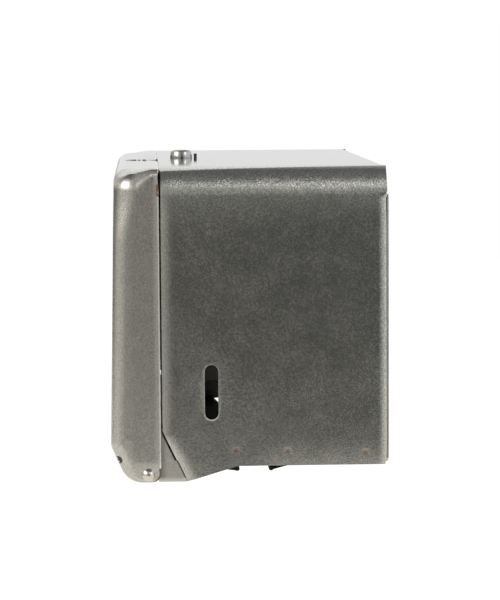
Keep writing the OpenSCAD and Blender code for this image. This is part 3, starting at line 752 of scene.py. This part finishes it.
def cut_round(obj, place, direction, diameter, length, name):
    """Cuts a round hole through an object."""
    work = bmesh.new()
    turn = Vector((0, 0, 1)).rotation_difference(direction).to_matrix().to_4x4()
    radius = diameter / 2 * MM
    bmesh.ops.create_cone(work, cap_ends=True, segments=32, radius1=radius, radius2=radius,
                          depth=length * MM, matrix=Matrix.Translation(place * MM) @ turn)
    mesh = bpy.data.meshes.new(name)
    work.to_mesh(mesh)
    work.free()
    cutter = bpy.data.objects.new(name, mesh)
    bpy.context.scene.collection.objects.link(cutter)
    add_modifier(obj, "BOOLEAN", object=cutter, operation="DIFFERENCE", solver="EXACT")
    bake_modifiers(obj)
    bpy.data.objects.remove(cutter)


def build_door():
    rows = door_rows()
    verts, faces = [], []
    for sign in (-1, 1):
        edge = door_half(sign, rows, verts, faces)
        door_side(sign, edge, verts, faces)
    width = len(verts) // 2
    row_width = 1 + len(SEAM_SHARES) + len(EDGE_TURNS)
    on_top = sum(map(lies_level, rows))
    for i in range(on_top - 1, len(rows) - 1):
        a, b = i * row_width, width + i * row_width
        faces.append([a, b, b + row_width, a + row_width])
    obj = make_object("door_skin", verts, faces)
    clean_mesh(obj)
    front = min(obj.data.polygons, key=lambda f: f.center.y)
    if front.normal.y > 0:
        obj.data.flip_normals()
    sheet_metal(obj, DOOR_SHEET, DOOR_EDGE)
    corner = Vector((0, DOOR_FRONT_FOOT + BEVEL_RUN + CORNER_R, DOOR_BOTTOM + CORNER_R))
    bevel = math.atan(BEVEL_RUN / (BEVEL_RISE - CORNER_R))
    out = Vector((0, -math.cos(bevel), -math.sin(bevel)))
    up = Vector((0, -math.sin(bevel), math.cos(bevel)))
    for sign in (-1, 1):
        place = corner + CORNER_R * out + DRAIN_UP * up + Vector((sign * (DOOR_X - DRAIN_INSET), 0, 0))
        cut_round(obj, place, out, DRAIN_D, 3 * FRONT_EDGE_R, "drain_cutter")
    obj.data.shade_smooth()
    obj.data.set_sharp_from_angle(angle=math.radians(SMOOTH_ANGLE))
    return obj


# Throat plates: the solids with their lips bent less far down

def lip_shift(y):
    """How far a point of a throat plate moves in depth and in height."""
    if abs(y - FRONT_LIP_BEND) < LIP_BEND_REACH:
        return LIP_BEND_SHIFT
    if FRONT_LIP_BEND < y < THROAT_MIDDLE:
        return (LIP_ADVANCE, LIP_RAISE)
    if THROAT_MIDDLE < y < REAR_LIP_END:
        return (0, LIP_RAISE)
    return (0, 0)


def build_throat_plate(node, name):
    solid = frame["nodes"][node]
    verts = []
    for v in solid.data.vertices:
        p = solid.matrix_world @ v.co / MM
        back, up = lip_shift(p.y)
        verts.append(p + Vector((0, back, up)))
    obj = make_object(name, verts, [list(f.vertices) for f in solid.data.polygons])
    clean_mesh(obj)
    return obj


# Turned pieces

def revolve(name, profile, origin, axis, steps=72, hollow=False, smooth_angle=SMOOTH_ANGLE):
    """Solid turned from (radius, height) points about an axis; a hollow one is a ring without end faces."""
    turn = Vector((0, 0, 1)).rotation_difference(axis)
    count = len(profile)
    verts, faces = [], []
    for radius, height in profile:
        for i in range(steps):
            a = 2 * math.pi * i / steps
            verts.append(origin + turn @ Vector((radius * math.cos(a), radius * math.sin(a), height)))
    for k in range(count if hollow else count - 1):
        n = (k + 1) % count
        for i in range(steps):
            j = (i + 1) % steps
            faces.append([k * steps + i, k * steps + j, n * steps + j, n * steps + i])
    if not hollow:
        faces.append(list(range(steps))[::-1])
        faces.append(list(range((count - 1) * steps, count * steps)))
    return make_object(name, verts, faces, smooth_angle)


def build_lock_head():
    """Head and barrel of the lock, round the turning plug."""
    low, _ = box_mm("lock_housing")
    foot = low.z - TOP_Z
    shoulder_h = LOCK_H - LOCK_SHOULDER
    side = [(LOCK_R - LOCK_BARREL * (h / LOCK_H) ** 2, h) for h in np.linspace(LOCK_FOOT, shoulder_h, 8)]
    centre = (side[-1][0] - LOCK_SHOULDER, shoulder_h)
    profile = [(LOCK_PLUG_R, foot), (LOCK_THREAD_R, foot), (LOCK_THREAD_R, 0), (LOCK_R - LOCK_FOOT, 0)]
    profile += side + arc_points(centre, LOCK_SHOULDER, 0, 90, 8)[1:]
    profile += [(LOCK_PLUG_R + LOCK_LIP, LOCK_H), (LOCK_PLUG_R, LOCK_H - LOCK_LIP)]
    return revolve("lock_head", profile, Vector((0, LOCK.y, TOP_Z)), Vector((0, 0, 1)), LOCK_STEPS, True, 40)


def build_rivet(sign, name):
    """Domed rivet seated on the leaning side of the door."""
    seat = DOOR_X - tuck(HINGE.z) + RIVET_GAP
    ball = (RIVET_R ** 2 + RIVET_H ** 2) / (2 * RIVET_H)
    rim = math.asin(RIVET_R / ball)
    low, _ = box_mm("hinge_rivet_right")
    tail = low.x + RIVET_TAIL_H
    profile = [(RIVET_TAIL_R, low.x), (RIVET_TAIL_R, tail), (RIVET_SHANK_R, tail), (RIVET_SHANK_R, seat)]
    profile.append((RIVET_R - RIVET_UNDERCUT, seat))
    for a in np.linspace(rim, 0.02, 16):
        profile.append((ball * math.sin(a), seat + RIVET_RIM + RIVET_H - ball * (1 - math.cos(a))))
    return revolve(name, profile, Vector((0, HINGE.y, HINGE.z)), Vector((sign, 0, 0)))


# Materials

class Shader:
    """Short way to add nodes to a material or world tree."""

    def __init__(self, owner):
        owner.use_nodes = True
        self.tree = owner.node_tree
        self.tree.nodes.clear()

    def node(self, kind, inputs=(), **values):
        node = self.tree.nodes.new(kind)
        for key, value in values.items():
            setattr(node, key, value)
        for key, value in dict(inputs).items():
            if isinstance(value, bpy.types.NodeSocket):
                self.tree.links.new(value, node.inputs[key])
            else:
                node.inputs[key].default_value = value
        return node

    def math(self, operation, a, b=0.0, clamp=False):
        return self.node("ShaderNodeMath", {0: a, 1: b}, operation=operation, use_clamp=clamp).outputs[0]

    def noise(self, place, scale, detail=3.0, rough=0.55):
        node = self.node("ShaderNodeTexNoise", {
            "Vector": place, "Scale": scale, "Detail": detail, "Roughness": rough,
        })
        return node.outputs["Fac"]

    def ramp(self, value, low, high, to_low=0.0, to_high=1.0):
        node = self.node("ShaderNodeMapRange", {
            "Value": value, "From Min": low, "From Max": high, "To Min": to_low, "To Max": to_high,
        }, interpolation_type="SMOOTHSTEP")
        return node.outputs["Result"]

    def mix(self, share, a, b):
        return self.node("ShaderNodeMix", {0: share, 6: a, 7: b}, data_type="RGBA").outputs[2]

    def mix_value(self, share, a, b):
        return self.node("ShaderNodeMix", {0: share, 2: a, 3: b}, data_type="FLOAT").outputs[0]

    def near(self, place, point, radius):
        """Mask that is 1 at a point, in metres, and 0 beyond the radius."""
        gap = self.node("ShaderNodeVectorMath", {0: place, 1: point}, operation="DISTANCE").outputs["Value"]
        return self.ramp(gap, radius * 0.35, radius, 1.0, 0.0)


def rgba(r, g, b):
    return (r, g, b, 1.0)


def at(x, y, z):
    return (x * MM, y * MM, z * MM)


RUST = rgba(0.15, 0.085, 0.045)
# Pale colour of the painted highlights on the grit and the door's rim; it also lightens the ears' lowest edge
SPARK = rgba(0.90, 0.90, 0.87)
# Painted shade: darkens the door's upper side edge and the dark grit between painted highlights
PAINTED_SHADE = rgba(0.20, 0.20, 0.19)
# Painted shade, near black, on the throat's lips and the inside seen through the slot
SHADE_BLACK = rgba(0.03, 0.03, 0.028)
# Painted shade on the faces that look into the cabinet or downwards
INSIDE_SHADE = rgba(0.17, 0.17, 0.16)
# Radii of heat and rust, and the depth behind which the throat plates get painted shade, in metres
HEAT_R = 0.0036
HINGE_RUST_R = 0.0015
RIM_RUST_R = 0.0022
EAR_REAR = -0.098
# Rust of the door in millimetres: inset on the side, start, end and step below the top, inset at the rim
RUST_INSET = 0.3
RIM_RUST = (9.5, 14.0, 1.0)
RIM_RUST_INSET = 0.1
HEAT_PALE = rgba(0.64, 0.58, 0.50)
HEAT_BROWN = rgba(0.33, 0.25, 0.185)
# Painted shade in the crevices under the slanted edge and beside the door's rim, and its width low and higher up
CREVICE_SHADE = rgba(0.045, 0.04, 0.035)
CREVICE_SHADE_W = (0.5 * MM, 1.7 * MM)
# Broad darker and paler patches of the sides: place in depth and height in millimetres, radius in metres, shift of
# the tone
SIDE_PATCHES = [((-46, 18), 0.085, -0.035), ((-104, -36), 0.04, 0.05)]


class Steel:
    """Bead-blasted steel: fine pebbles and faint clouds, polished where it lies level, with layers of wear, heat,
    rust, painted highlights and painted shade.
    """

    def __init__(self, name, dark, light, rough, grain, polish=1.0, lean=0.4, flat=(0.68, 0.86), patches=()):
        self.material = bpy.data.materials.new(name)
        self.s = s = Shader(self.material)
        own = s.node("ShaderNodeTexCoord").outputs
        self.place = own["Object"]
        self.spot = s.node("ShaderNodeSeparateXYZ", {0: self.place}).outputs
        self.facing = s.node("ShaderNodeSeparateXYZ", {0: own["Normal"]}).outputs
        self.flat = flat
        self.fine = s.noise(self.place, 2100, 2.0, 0.6)
        pebble = s.noise(self.place, 1050, 3.0, 0.7)
        cloud = s.noise(self.place, 60, 5.0, 0.65)
        self.lie = s.math("SUBTRACT", self.facing["Z"], s.math("MULTIPLY", self.facing["Y"], lean))
        level = s.ramp(self.lie, *flat, 0.0, polish)
        tone = s.math("ADD", s.math("MULTIPLY", cloud, 0.12), s.math("MULTIPLY", pebble, 0.88))
        for point, radius, shift in patches:
            tone = s.math("ADD", tone, s.math("MULTIPLY", s.near(self.place, point, radius), shift))
        self.middle = rgba(*[(a + b) / 2 for a, b in zip(dark[:3], light[:3])])
        self.color = s.mix(s.ramp(tone, 0.41, 0.59), dark, light)
        worn = s.ramp(cloud, 0.25, 0.75, rough - 0.015, rough + 0.015)
        self.worn = s.math("SUBTRACT", worn, s.math("MULTIPLY", level, rough - 0.04))
        self.metal = 1.0
        self.relief = s.ramp(level, 0.0, 1.0, grain, 0.02)
        self.height = s.math("ADD", pebble, s.math("MULTIPLY", self.fine, 0.4))

    def tint(self, share, color):
        self.color = self.s.mix(share, self.color, color)

    def roughen(self, share, amount=1.0):
        self.worn = self.s.math("ADD", self.worn, self.s.math("MULTIPLY", share, amount))

    def calm_edges(self):
        """Evens the pebbles near the cabinet's foot and front edge."""
        s = self.s
        low = s.ramp(self.spot["Z"], (FOOT_Z + 10) * MM, (FOOT_Z + 45) * MM, 0.35, 0.0)
        fore = s.ramp(self.spot["Y"], (FRONT_Y + 4) * MM, (FRONT_Y + 14) * MM, 0.4, 0.0)
        even = s.math("MAXIMUM", low, fore)
        self.tint(even, self.middle)
        self.relief = s.math("MULTIPLY", self.relief, s.math("SUBTRACT", 1.0, even))

    def shade_upper_edge(self, blur):
        """Roughens the door's upper side edge behind its ball corner and darkens it with painted shade, with a
        band of painted shade where the edge turns to the polished top.
        """
        s, up = self.s, self.facing["Z"]
        beside = s.ramp(self.spot["Y"], (DOOR_FRONT_TOP + 6) * MM, (DOOR_FRONT_TOP + 13) * MM, 0.0, blur)
        edge = s.math("MULTIPLY", s.ramp(up, 0.04, 0.4), s.ramp(up, 0.6, 0.8, 1.0, 0.0))
        edge = s.math("MULTIPLY", edge, beside)
        self.roughen(edge)
        self.tint(s.math("MULTIPLY", edge, 2.2), PAINTED_SHADE)
        band = s.ramp(self.lie, 0.45, 0.65, 0.0, 2 * blur)
        self.tint(s.math("MULTIPLY", band, s.ramp(self.lie, *self.flat, 1.0, 0.0)), PAINTED_SHADE)

    def sparkle(self, spark):
        """Paints highlights on the pebbles of the upper bends in clumps, with painted shade on the darker ones,
        over a wider band towards the back.
        """
        s, up = self.s, self.facing["Z"]
        back = (FRONT_Y + 45) * MM, (REAR_Y - 25) * MM
        low = s.ramp(self.spot["Y"], *back, 0.26, -0.05)
        middle = s.ramp(self.spot["Y"], *back, 0.46, 0.40)
        high = s.ramp(self.spot["Y"], *back, 0.74, 0.90)
        bend = s.math("MULTIPLY", s.ramp(up, low, middle), s.ramp(up, 0.5, high, 1.0, 0.0))
        clump = s.ramp(s.noise(self.place, 130, 2.0, 0.5), 0.36, 0.62, 0.25, 1.0)
        shine = s.math("MULTIPLY", s.math("MULTIPLY", bend, clump), s.ramp(self.spot["Y"], *back, 1.0, 0.7))
        grit = s.noise(self.place, 1350, 2.0, 0.65)
        # Painted highlights on the bright grit and painted shade on the dark grit
        self.tint(s.math("MULTIPLY", shine, s.ramp(grit, 0.46, 0.62, 0.0, spark)), SPARK)
        self.tint(s.math("MULTIPLY", shine, s.ramp(grit, 0.36, 0.5, spark * 0.5, 0.0)), PAINTED_SHADE)
        self.relief = s.math("ADD", self.relief, s.math("MULTIPLY", shine, spark * 0.7))
        self.height = s.mix_value(bend, self.height, grit)

    def paint_rim_highlight(self):
        """Paints a highlight along the edge of the door's rim."""
        start, end = (RIM_Y - RIM_HIGHLIGHT_W) * MM, (RIM_Y - RIM_HIGHLIGHT_W / 2) * MM
        self.tint(self.s.ramp(self.spot["Y"], start, end, 0.0, 0.8), SPARK)

    def scorch(self, points):
        """Brown welding heat in a pale halo at points in metres."""
        s = self.s
        for point in points:
            self.tint(s.math("MULTIPLY", s.near(self.place, point, HEAT_R), 0.6), HEAT_PALE)
            core = s.near(self.place, point, HEAT_R / 2)
            self.tint(s.math("MULTIPLY", core, s.ramp(self.fine, 0.3, 0.6, 0.4, 0.7)), HEAT_BROWN)

    def rust(self, points):
        """Broken rust at points with radii, in metres."""
        s = self.s
        stain = 0.0
        for point, radius in points:
            stain = s.math("MAXIMUM", s.near(self.place, point, radius), stain)
        broken = s.noise(self.place, 700, 4.0, 0.7)
        stain = s.math("MULTIPLY", stain, s.ramp(broken, 0.25, 0.45), True)
        self.tint(stain, RUST)
        self.roughen(stain, 0.3)
        self.metal = s.math("SUBTRACT", 1.0, s.math("MULTIPLY", stain, 0.8))

    def shade_inside(self):
        """Darkens the faces that look into the cabinet or downwards with painted shade, and roughens them."""
        s = self.s
        outward = s.math("MULTIPLY", self.facing["X"], s.math("SIGN", self.spot["X"]))
        share = s.ramp(s.math("ADD", outward, self.facing["Z"]), -0.8, -0.4, 1.0, 0.0)
        self.tint(share, INSIDE_SHADE)
        self.roughen(share, 0.3)

    def shade_behind(self, depth):
        """Paints near-black shade and adds roughness on what lies further back than a depth, apart from the
        upright ears.
        """
        s = self.s
        upright = s.ramp(s.math("ABSOLUTE", self.facing["X"]), 0.6, 0.9)
        upright = s.math("MULTIPLY", upright, s.ramp(self.spot["Z"], FOOT_Z * MM, (FOOT_Z + 1) * MM))
        share = s.ramp(self.spot["Y"], depth - MM, depth)
        share = s.math("MULTIPLY", share, s.math("SUBTRACT", 1.0, upright))
        self.tint(share, SHADE_BLACK)
        self.roughen(share, 0.3)

    def shade_and_lighten_ears(self):
        """Painted shade on the ears under the slanted edge and beside the door's rim, and a lighter lowest edge.
        """
        s = self.s
        slant = Vector((0, -SLANT_RISE - NOSE_DROP, -NOSE_BACK)).normalized()
        away = s.node("ShaderNodeVectorMath", {0: self.place, 1: slant}, operation="DOT_PRODUCT")
        edge = slant.dot(Vector(at(0, FRONT_Y, FOOT_Z + SLANT_RISE)))
        away = s.math("SUBTRACT", away.outputs["Value"], edge)
        wide = s.ramp(self.spot["Z"], (FOOT_Z + 6) * MM, (FOOT_Z + 16) * MM, *CREVICE_SHADE_W)
        outward = s.ramp(s.math("ABSOLUTE", self.facing["X"]), 0.6, 0.9)
        self.tint(s.math("MULTIPLY", s.ramp(away, 0.0, wide, 0.9, 0.0), outward), CREVICE_SHADE)
        beside = s.ramp(self.spot["Y"], RIM_Y * MM, (RIM_Y + 4) * MM, 0.4, 0.0)
        self.tint(s.math("MULTIPLY", beside, outward), CREVICE_SHADE)
        lowest = (FOOT_Z - NOSE_DROP) * MM
        # Lighter towards the ears' lowest edge
        lighter_foot = s.ramp(self.spot["Z"], lowest + 0.4 * MM, lowest + 3 * MM, 0.75, 0.0)
        self.tint(s.math("MULTIPLY", lighter_foot, outward), SPARK)

    def finish(self):
        s = self.s
        bump = s.node("ShaderNodeBump", {"Height": self.height, "Strength": self.relief, "Distance": 0.00028})
        shader = s.node("ShaderNodeBsdfPrincipled", {
            "Base Color": self.color, "Roughness": self.worn, "Metallic": self.metal,
            "Normal": bump.outputs["Normal"],
        })
        s.node("ShaderNodeOutputMaterial", {"Surface": shader.outputs["BSDF"]})
        return self.material


def plated(name, dark, light, rough):
    """Smooth plated or turned metal with a little handling haze."""
    material = bpy.data.materials.new(name)
    s = Shader(material)
    place = s.node("ShaderNodeTexCoord").outputs["Object"]
    haze = s.noise(place, 160, 4.0, 0.6)
    fine = s.noise(place, 1800, 2.0, 0.5)
    color = s.mix(s.ramp(haze, 0.3, 0.7), dark, light)
    worn = s.ramp(haze, 0.25, 0.75, rough * 0.7, rough * 1.4)
    bump = s.node("ShaderNodeBump", {"Height": fine, "Strength": 0.08, "Distance": 0.0001})
    shader = s.node("ShaderNodeBsdfPrincipled", {
        "Base Color": color, "Roughness": worn, "Metallic": 1.0, "Normal": bump.outputs["Normal"],
    })
    s.node("ShaderNodeOutputMaterial", {"Surface": shader.outputs["BSDF"]})
    return material


def dress(obj, material):
    obj.data.materials.clear()
    obj.data.materials.append(material)


# Build and dress the pieces

cabinet = build_cabinet()
door = build_door()
lock_head = build_lock_head()
front_throat = build_throat_plate("front_throat_plate", "front_throat")
rear_throat = build_throat_plate("rear_throat_plate", "rear_throat")
rivets = {"right": build_rivet(1, "rivet_right"), "left": build_rivet(-1, "rivet_left")}


def cabinet_finish():
    patches = [(at(sign * SIDE_X, *point), radius, shift)
              for sign in (-1, 1) for point, radius, shift in SIDE_PATCHES]
    welds = [at(sign * SIDE_X, y, FOOT_Z + height) for sign in (-1, 1) for y, height in WELDS]
    dark, light = rgba(0.34, 0.35, 0.325), rgba(0.52, 0.52, 0.49)
    steel = Steel("cabinet_steel", dark, light, 0.26, 0.2, patches=patches)
    steel.calm_edges()
    steel.sparkle(0.8)
    steel.scorch(welds)
    # painted shade inside the cabinet and under its edges
    steel.shade_inside()
    return steel.finish()


def door_rust():
    """Points with radii along the round lower ends of the door's rim and the upper ends of its sides."""
    points = []
    arc = arc_points((RIM_Y - RIM_END_R, DOOR_BOTTOM + RIM_END_R), RIM_END_R, 15, -75, 7)
    for sign in (-1, 1):
        points += [(at(sign * (DOOR_X - RUST_INSET), y, z), HINGE_RUST_R) for y, z in arc]
    for sign in (-1, 1):
        for down in np.arange(*RIM_RUST):
            points.append((at(sign * DOOR_X, RIM_Y - RIM_RUST_INSET, DOOR_TOP - down), RIM_RUST_R))
    return points


def door_finish():
    dark, light = rgba(0.40, 0.40, 0.375), rgba(0.515, 0.51, 0.48)
    steel = Steel("door_steel", dark, light, 0.27, 0.17, lean=0.2, flat=(0.72, 0.86))
    # painted shade on the upper side edge behind the ball corner
    steel.shade_upper_edge(0.4)
    steel.sparkle(0.2)
    # painted highlight along the rim's edge
    steel.paint_rim_highlight()
    steel.rust(door_rust())
    return steel.finish()


def throat_finish():
    steel = Steel("throat_steel", rgba(0.45, 0.44, 0.41), rgba(0.54, 0.53, 0.50), 0.36, 0.3, polish=0.0)
    # painted shade on the lips and on what lies behind the ears
    steel.shade_behind(EAR_REAR)
    # painted shade on the ears, and a lighter lowest edge
    steel.shade_and_lighten_ears()
    return steel.finish()


cabinet_steel = cabinet_finish()
door_steel = door_finish()
throat_steel = throat_finish()
plate_steel = Steel("plate_steel", rgba(0.72, 0.705, 0.665), rgba(0.84, 0.825, 0.785), 0.36, 0.3).finish()
rivet_steel = plated("rivet_steel", rgba(0.50, 0.49, 0.45), rgba(0.62, 0.60, 0.56), 0.22)
lock_chrome = plated("lock_chrome", rgba(0.30, 0.31, 0.305), rgba(0.39, 0.40, 0.395), 0.15)
lock_brass = plated("lock_brass", rgba(0.52, 0.40, 0.19), rgba(0.66, 0.53, 0.28), 0.24)
hardware_steel = plated("hardware_steel", rgba(0.40, 0.40, 0.38), rgba(0.56, 0.56, 0.53), 0.32)
dark_pin = plated("dark_pin", rgba(0.06, 0.06, 0.055), rgba(0.11, 0.105, 0.10), 0.4)

slot_material = {
    "cabinet_steel": cabinet_steel, "door_steel": door_steel, "plate_steel": plate_steel,
    "rivet_steel": rivet_steel, "lock_chrome": lock_chrome, "lock_brass": lock_brass,
    "hardware_steel": hardware_steel,
}
for part in frame["record"]["subparts"]:
    dress(frame["nodes"][part["node"]], slot_material[part["material_slot"]])
dress(frame["nodes"]["guide_pin"], dark_pin)

for obj, body, node, slot in (
    (cabinet, "cabinet", "body_shell", "cabinet_steel"),
    (door, "door", "door_shell", "door_steel"),
    (lock_head, "cabinet", "lock_housing", "lock_chrome"),
    (front_throat, "cabinet", "front_throat_plate", "plate_steel"),
    (rear_throat, "cabinet", "rear_throat_plate", "plate_steel"),
    (rivets["right"], "cabinet", "hinge_rivet_right", "rivet_steel"),
    (rivets["left"], "cabinet", "hinge_rivet_left", "rivet_steel"),
):
    dress(obj, throat_steel if "throat" in node else slot_material[slot])
    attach(obj, body)
    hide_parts(node)


# Studio

FLOOR_DROP = 0.12
BACKDROP_SLANT = 6.0
WHITE = rgba(1, 1, 1)
WARM = rgba(1, 0.955, 0.88)
FLOOR_X = (-3.0, 0.64)
FLOOR_Y = (-1.3, 2.5)
PAPER = rgba(0.86, 0.85, 0.83)
FLOOR_GLOW = 1.26
FLOOR_SHARE = 0.75
SOFTBOX_AWAY = 1.6
SOFTBOX_COLOR = (1, 0.97, 0.92)
SOFTBOX_AIM = Vector((0, -0.06, 0.01))


def build_floor():
    z = cad_box[0][2] - FLOOR_DROP
    obj = make_object("floor", [Vector((x, y, z)) / MM for x, y in grid(FLOOR_X, FLOOR_Y)], [[0, 2, 3, 1]])
    material = bpy.data.materials.new("floor_white")
    s = Shader(material)
    path = s.node("ShaderNodeLightPath").outputs
    seen = s.math("MAXIMUM", path["Is Camera Ray"], path["Is Glossy Ray"])
    seen = s.math("MAXIMUM", seen, path["Is Transmission Ray"])
    paper = s.node("ShaderNodeBsdfDiffuse", {"Color": PAPER})
    tint = s.mix(path["Is Camera Ray"], WARM, WHITE)
    white = s.node("ShaderNodeEmission", {"Color": tint, "Strength": FLOOR_GLOW})
    share = s.math("MULTIPLY", seen, FLOOR_SHARE)
    mixed = s.node("ShaderNodeMixShader", {0: share, 1: paper.outputs[0], 2: white.outputs[0]})
    s.node("ShaderNodeOutputMaterial", {"Surface": mixed.outputs[0]})
    dress(obj, material)


def build_world():
    """White for the camera; for light and reflections a bright backdrop behind and a dim room."""
    world = bpy.data.worlds.new("studio")
    bpy.context.scene.world = world
    s = Shader(world)
    way = s.node("ShaderNodeSeparateXYZ", {0: s.node("ShaderNodeTexCoord").outputs["Generated"]}).outputs
    behind = s.ramp(way["X"], -0.40, -0.32, 1.0, 0.0)
    edge = s.math("ADD", way["Z"], s.math("MULTIPLY", way["Y"], BACKDROP_SLANT))
    backdrop = s.math("MULTIPLY", behind, s.ramp(edge, 0.92, 1.02, 1.0, 0.0))
    sideways = s.math("MAXIMUM", s.ramp(way["Y"], -0.5, -0.3), s.ramp(way["Z"], 0.0, 0.15))
    backdrop = s.math("MULTIPLY", backdrop, sideways)
    backdrop = s.math("MULTIPLY", backdrop, s.ramp(way["Z"], 0.15, 0.5, 0.82, 1.3))
    front = s.math("ADD", s.ramp(way["Y"], -0.19, -0.03, 0.50, 0.0), s.ramp(way["Y"], -0.8, -0.15, 0.1, 0.0))
    front = s.math("MULTIPLY", front, s.ramp(way["Z"], 0.4, 0.8, 1.0, 0.0))
    front = s.math("MULTIPLY", front, s.ramp(way["X"], -0.5, -0.1, 0.3, 1.0))
    wall = s.math("MULTIPLY", s.ramp(way["Y"], 0.0, 0.35, 0.0, 0.9), s.ramp(way["X"], -0.6, -0.2, 1.0, 0.0))
    rear = s.math("MAXIMUM", s.ramp(way["Y"], 0.14, 0.75, 0.0, 1.0), wall)
    rear = s.math("MULTIPLY", rear, s.ramp(way["Z"], 0.4, 0.8, 1.0, 0.0))
    glow = s.ramp(way["Z"], -0.03, 0.34, 0.015, 0.40)
    glow = s.math("MULTIPLY", glow, s.ramp(way["Z"], 0.7, 0.92, 1.0, 0.55))
    room = s.math("ADD", s.math("ADD", front, rear), glow)
    camera = s.node("ShaderNodeLightPath").outputs["Is Camera Ray"]
    level = s.math("MAXIMUM", s.math("MAXIMUM", backdrop, room), camera)
    warm = s.math("MULTIPLY", s.ramp(front, 0.0, 0.3), s.math("SUBTRACT", 1.0, camera))
    back = s.node("ShaderNodeBackground", {"Color": s.mix(warm, WHITE, WARM), "Strength": level})
    s.node("ShaderNodeOutputWorld", {"Surface": back.outputs[0]})


def softbox(name, place, size, power):
    light = bpy.data.lights.new(name, "AREA")
    light.shape = "RECTANGLE"
    light.size, light.size_y = size
    light.energy = power
    light.color = SOFTBOX_COLOR
    obj = bpy.data.objects.new(name, light)
    bpy.context.scene.collection.objects.link(obj)
    obj.location = place
    obj.rotation_euler = (SOFTBOX_AIM - Vector(place)).to_track_quat("-Z", "Y").to_euler()
    obj.visible_camera = False


build_floor()
build_world()
for name, azimuth, elevation, size, power in (
    ("softbox_left", -60, 29, (1.25, 0.9), 10),
    ("softbox_right", 44, 28, (0.5, 0.5), 1.6),
    ("softbox_over", 12, 40, (0.6, 0.22), 0.75),
):
    a, e = math.radians(azimuth), math.radians(elevation)
    direction = Vector((math.cos(e) * math.cos(a), math.cos(e) * math.sin(a), math.sin(e)))
    softbox(name, direction * SOFTBOX_AWAY, size, power)


# Camera at the photograph's angle, for a frame of 500 by 600 pixels, whose size is not set here

CAMERA = Vector((1.500411, -0.128375, 0.138383))
CAMERA_YAW = -0.040981
CAMERA_PITCH = 0.089099
CAMERA_ROLL = -0.006708
CAMERA_LENS = 155.894


def build_camera():
    forward = Vector((-math.cos(CAMERA_YAW) * math.cos(CAMERA_PITCH),
                      -math.sin(CAMERA_YAW) * math.cos(CAMERA_PITCH), -math.sin(CAMERA_PITCH)))
    right = Vector((-math.sin(CAMERA_YAW), math.cos(CAMERA_YAW), 0))
    up = right.cross(forward)
    turn = Matrix.Rotation(CAMERA_ROLL, 3, -forward)
    right, up = turn @ right, turn @ up
    data = bpy.data.cameras.new("photo_camera")
    data.sensor_width = 36
    data.lens = CAMERA_LENS
    data.clip_start, data.clip_end = 0.01, 50
    obj = bpy.data.objects.new("photo_camera", data)
    bpy.context.scene.collection.objects.link(obj)
    basis = Matrix((right, up, -forward)).transposed()
    obj.matrix_world = Matrix.Translation(CAMERA) @ basis.to_4x4()
    bpy.context.scene.camera = obj


build_camera()
bpy.context.scene.view_settings.view_transform = "Standard"

bpy.context.view_layer.update()
